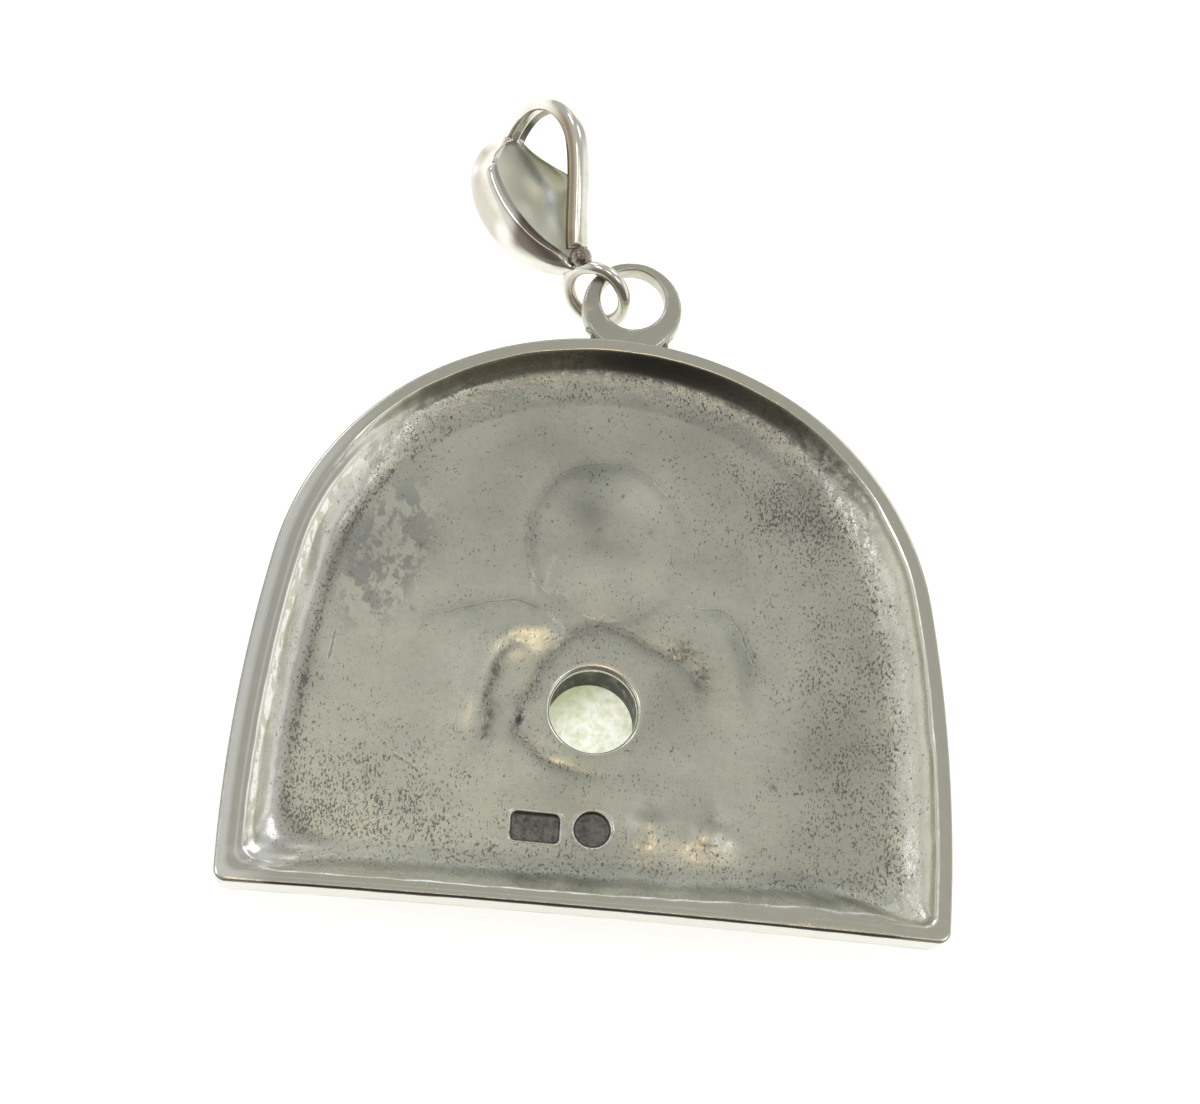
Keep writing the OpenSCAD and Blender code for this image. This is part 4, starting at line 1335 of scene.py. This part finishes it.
class PendantStage(PropertyGroup):
    """Floor, lights and camera of the picture."""

    floor_size: FloatProperty(
        name="Floor size", description="Side of the square floor",
        default=4.0, min=0.5, max=10, unit="LENGTH", subtype="DISTANCE",
    )
    floor_colour: tint("Floor", "Colour of the plain floor", (0.95, 0.95, 0.95))
    floor_glow: FloatProperty(
        name="Floor glow", description="Light that the floor gives off, as a light table does",
        default=0.66, min=0, max=2,
    )
    tent_light: tint("Tent light", "Soft light from above and from the sides", (0.5, 0.5, 0.485), 2)
    dark_side: tint("Dark side", "Darker opening of the light tent, towards the foot", (0.15, 0.125, 0.1), 2)
    side_light: tint("Side light", "Bright sides of the light tent, low down", (1.0, 1.0, 0.97), 2)
    lamp_power: FloatProperty(
        name="Warm lamp", description="Power of the small warm lamp overhead",
        default=0.06, min=0, max=5, unit="POWER", subtype="POWER",
    )
    spark_power: FloatProperty(
        name="Side lamps", description="Power of the small lamps that spark on the edges",
        default=0.1, min=0, max=5, unit="POWER", subtype="POWER",
    )
    camera_distance: FloatProperty(
        name="Camera distance", description="From the camera to the middle of the view",
        default=0.15, min=0.05, max=1, unit="LENGTH", subtype="DISTANCE",
    )
    camera_lens: FloatProperty(
        name="Lens", description="Focal length on a 36 mm frame",
        default=106.875, min=20, max=300, unit="CAMERA",
    )
    camera_heading: FloatProperty(
        name="Heading", description="Turn of the camera round the pendant",
        default=math.radians(-10.11), min=-math.pi, max=math.pi, unit="ROTATION", subtype="ANGLE",
    )
    camera_height: FloatProperty(
        name="Height", description="Angle of the camera over the floor",
        default=math.radians(66.31), min=0, max=math.pi / 2, unit="ROTATION", subtype="ANGLE",
    )
    camera_roll: FloatProperty(
        name="Roll", description="Turn of the picture",
        default=math.radians(14.68), min=-math.pi, max=math.pi, unit="ROTATION", subtype="ANGLE",
    )


def shared_groups():
    """The shader groups, built once."""
    kinds = {"pores": ("Casting pores", pore_group), "satin": ("Satin finish", satin_group)}
    return {key: bpy.data.node_groups.get(name) or make() for key, (name, make) in kinds.items()}


class PENDANT_OT_plaque(Operator):
    """Build the cast plaque with its hollow back, relief and bezel"""

    bl_idname = "pendant.plaque"
    bl_label = "Cast plaque"

    def execute(self, context):
        rows, masks = plaque_rows()
        points, quads, tris = shell(rows, closed=True)
        values = {key: masks[..., i] for i, key in enumerate(PLAQUE_MASKS)}
        material = cast_silver(context.scene.pendant_finish, shared_groups())
        make_piece("cast_plaque", [(points, quads, tris)], material, "plaque", values)
        return {"FINISHED"}


class PENDANT_OT_loop(Operator):
    """Build the flat loop and the solder that joins it to the plaque"""

    bl_idname = "pendant.loop"
    bl_label = "Soldered loop"

    def execute(self, context):
        loop = loop_rows(context.scene.pendant_sizes)
        solder = [solder_rows(path, radii, 71 + i) for i, (path, radii) in enumerate(LOOP_SOLDER)]
        shells = [shell(loop, closed=True), *(shell(rows) for rows in solder)]
        # Darker towards the loop's left, and dark on the long solder fillet: tarnish with painted shade in
        # the groove at the loop's foot
        dull_and_shade = np.concatenate([
            0.05 + 0.1 * smooth(-loop[..., 0].ravel(), -0.2, 1.4),
            np.full(solder[0][..., 0].size + 2, 0.8),
        ])
        material = soldered_silver(context.scene.pendant_finish, shared_groups())
        make_piece("soldered_loop", shells, material, "plaque", {"oxide": dull_and_shade})
        return {"FINISHED"}


class PENDANT_OT_stone(Operator):
    """Build the round cabochon in its seat"""

    bl_idname = "pendant.stone"
    bl_label = "Cabochon"

    def execute(self, context):
        rows = turned_rows(stone_profile(context.scene.pendant_sizes), STONE_C)
        material = pale_stone(context.scene.pendant_finish)
        # Where the hole's wall shades the stone, as a painted shadow
        wall_shadow = smooth(0.8 * (rows[..., 1] - STONE_C[1]) - 0.6 * (rows[..., 0] - STONE_C[0]), 0.1, 1.9)
        make_piece("cabochon", [shell(rows)], material, "stone", {"wall_shadow": wall_shadow})
        return {"FINISHED"}


class PENDANT_OT_bail(Operator):
    """Build the leaf bail with its ring and the solder between them"""

    bl_idname = "pendant.bail"
    bl_label = "Leaf bail"

    def execute(self, context):
        sizes = context.scene.pendant_sizes
        rows, masks = bail_rows(sizes)
        foot = RING_C + sizes.ring_radius / MM * (JOINT - RING_C) / np.linalg.norm(JOINT - RING_C)
        way = foot - JOINT
        share = np.linspace(-0.75, 1.3, 15)
        radii = 0.46 * ball((share - 0.15) / 0.95) + 0.02
        radii = np.maximum(radii, np.where((share > 0) & (share < 1.2), 0.27, 0.02))
        lump = solder_rows(JOINT + share[:, None] * way, radii, 81, sides=28, uneven=0.015)
        ring = ring_rows(sizes)
        shells = [shell(rows), shell(ring, closed=True), shell(lump)]
        # The ring is darker on its inner side; the solder lump carries tarnish and a painted shadow
        inner = np.clip(-np.cos(round_turn(ring.shape[1])), 0, 1)
        for key, ring_share, on_lump in (("tarnish_and_reflection", 0.75, 0.3), ("shadow", 0.0, 0.8)):
            bent = np.append(masks[key].ravel(), [0, 0])
            on_ring = np.tile(ring_share * inner, len(ring))
            masks[key] = np.concatenate([bent, on_ring, np.full(lump[..., 0].size, on_lump)])
        material = polished_silver(context.scene.pendant_finish, shared_groups())
        make_piece("leaf_bail", shells, material, "bail", masks)
        return {"FINISHED"}


# Ways to the small lamps whose glints show on the walls, each with its share of the power
SPARKS = (
    ("upper right", (-0.49, 0.07, 0.87), 1.0),
    ("lower right", (-0.41, 0.67, 0.61), 1.0),
    ("upper left", (0.49, -0.1, 0.87), 1.0),
    ("lower left", (0.53, 0.66, 0.54), 1.0),
    ("foot", (0.0, 0.93, 0.37), 0.3),
)
LAMP_DISTANCE = 0.45
# Middle of the view on the back's rim, in metres
VIEW_MIDDLE = (-0.00029, -0.00294, BACK_Z * MM)


def soft_light(name, at, size, power, colour):
    """A square area light that looks at the pendant."""
    light = bpy.data.lights.new(name, "AREA")
    light.size = size
    light.energy = power
    light.color = colour
    obj = bpy.data.objects.new(name, light)
    obj.location = at
    obj.rotation_euler = (Vector((0, 0, 0)) - Vector(at)).to_track_quat("-Z", "Y").to_euler()
    bpy.context.scene.collection.objects.link(obj)


class PENDANT_OT_stage(Operator):
    """Set the pale floor, the soft studio light and the camera"""

    bl_idname = "pendant.stage"
    bl_label = "Stage"

    def execute(self, context):
        stage = context.scene.pendant_stage
        half = stage.floor_size / 2
        mesh = bpy.data.meshes.new("floor")
        corners = [(-half, -half, 0), (half, -half, 0), (half, half, 0), (-half, half, 0)]
        mesh.from_pydata(corners, [], [(0, 1, 2, 3)])
        floor = bpy.data.objects.new("floor", mesh)
        context.scene.collection.objects.link(floor)
        material, _, inputs = shader("Pale floor", Roughness=0.9)
        for key in ("Base Color", "Emission Color"):
            put(inputs[key], (*stage.floor_colour, 1))
        put(inputs["Emission Strength"], stage.floor_glow)
        mesh.materials.append(material)

        world = bpy.data.worlds.new("Studio")
        context.scene.world = world
        world.use_nodes = True
        tree = world.node_tree
        split = tree.nodes.new("ShaderNodeSeparateXYZ")
        put(split.inputs[0], Value(tree.nodes.new("ShaderNodeTexCoord").outputs["Generated"]))
        x, y = Value(split.outputs["X"]), Value(split.outputs["Y"])
        sky = blend(ramp(y, -0.85, 0.2), stage.dark_side, stage.tent_light)
        sides = most(ramp(x, 0.72, 0.93), ramp(x * -1.0, 0.72, 0.93, 0.0, 0.7))
        put(tree.nodes["Background"].inputs["Color"], blend(sides, sky, stage.side_light))

        soft_light("warm lamp", (0.02, -0.01, 0.4), 0.09, stage.lamp_power, (1.0, 0.78, 0.5))
        for name, way, share in SPARKS:
            at = Vector(way).normalized() * LAMP_DISTANCE
            soft_light(name + " lamp", at, 0.12, stage.spark_power * share, (1.0, 1.0, 1.0))

        heading, height, roll = stage.camera_heading, stage.camera_height, stage.camera_roll
        back = Vector((
            math.sin(heading) * math.cos(height),
            -math.cos(heading) * math.cos(height),
            math.sin(height),
        ))
        right = Vector((math.cos(heading), math.sin(heading), 0))
        up = back.cross(right)
        across = right * math.cos(roll) + up * math.sin(roll)
        upright = up * math.cos(roll) - right * math.sin(roll)
        data = bpy.data.cameras.new("camera")
        data.lens = stage.camera_lens
        data.sensor_width = 36
        data.sensor_fit = "HORIZONTAL"
        data.clip_start = 0.005
        camera = bpy.data.objects.new("camera", data)
        turn = Matrix((across, upright, back)).transposed().to_4x4()
        camera.matrix_world = Matrix.Translation(Vector(VIEW_MIDDLE) + back * stage.camera_distance) @ turn
        context.scene.collection.objects.link(camera)
        context.scene.camera = camera
        context.scene.view_settings.view_transform = "Standard"
        return {"FINISHED"}


class PENDANT_PT_panel(Panel):
    """Lists the pieces of the pendant and their settings"""

    bl_label = "Pendant"
    bl_space_type = "VIEW_3D"
    bl_region_type = "UI"
    bl_category = "Pendant"

    def draw(self, context):
        for piece in OPERATORS:
            self.layout.operator(piece.bl_idname)
        scene = context.scene
        for group in (scene.pendant_sizes, scene.pendant_finish, scene.pendant_stage):
            for key in group.bl_rna.properties.keys():
                if key not in ("rna_type", "name"):
                    self.layout.prop(group, key)


GROUPS = (PendantSizes, PendantFinish, PendantStage)
OPERATORS = (PENDANT_OT_plaque, PENDANT_OT_loop, PENDANT_OT_stone, PENDANT_OT_bail, PENDANT_OT_stage)


def register():
    for kind in (*GROUPS, *OPERATORS, PENDANT_PT_panel):
        bpy.utils.register_class(kind)
    bpy.types.Scene.pendant_sizes = PointerProperty(type=PendantSizes)
    bpy.types.Scene.pendant_finish = PointerProperty(type=PendantFinish)
    bpy.types.Scene.pendant_stage = PointerProperty(type=PendantStage)


def unregister():
    del bpy.types.Scene.pendant_stage
    del bpy.types.Scene.pendant_finish
    del bpy.types.Scene.pendant_sizes
    for kind in reversed((*GROUPS, *OPERATORS, PENDANT_PT_panel)):
        bpy.utils.unregister_class(kind)


def main():
    """Registers the classes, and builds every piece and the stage."""
    register()
    bpy.ops.pendant.plaque()
    bpy.ops.pendant.loop()
    bpy.ops.pendant.stone()
    bpy.ops.pendant.bail()
    bpy.ops.pendant.stage()


if __name__ == "__main__":
    main()
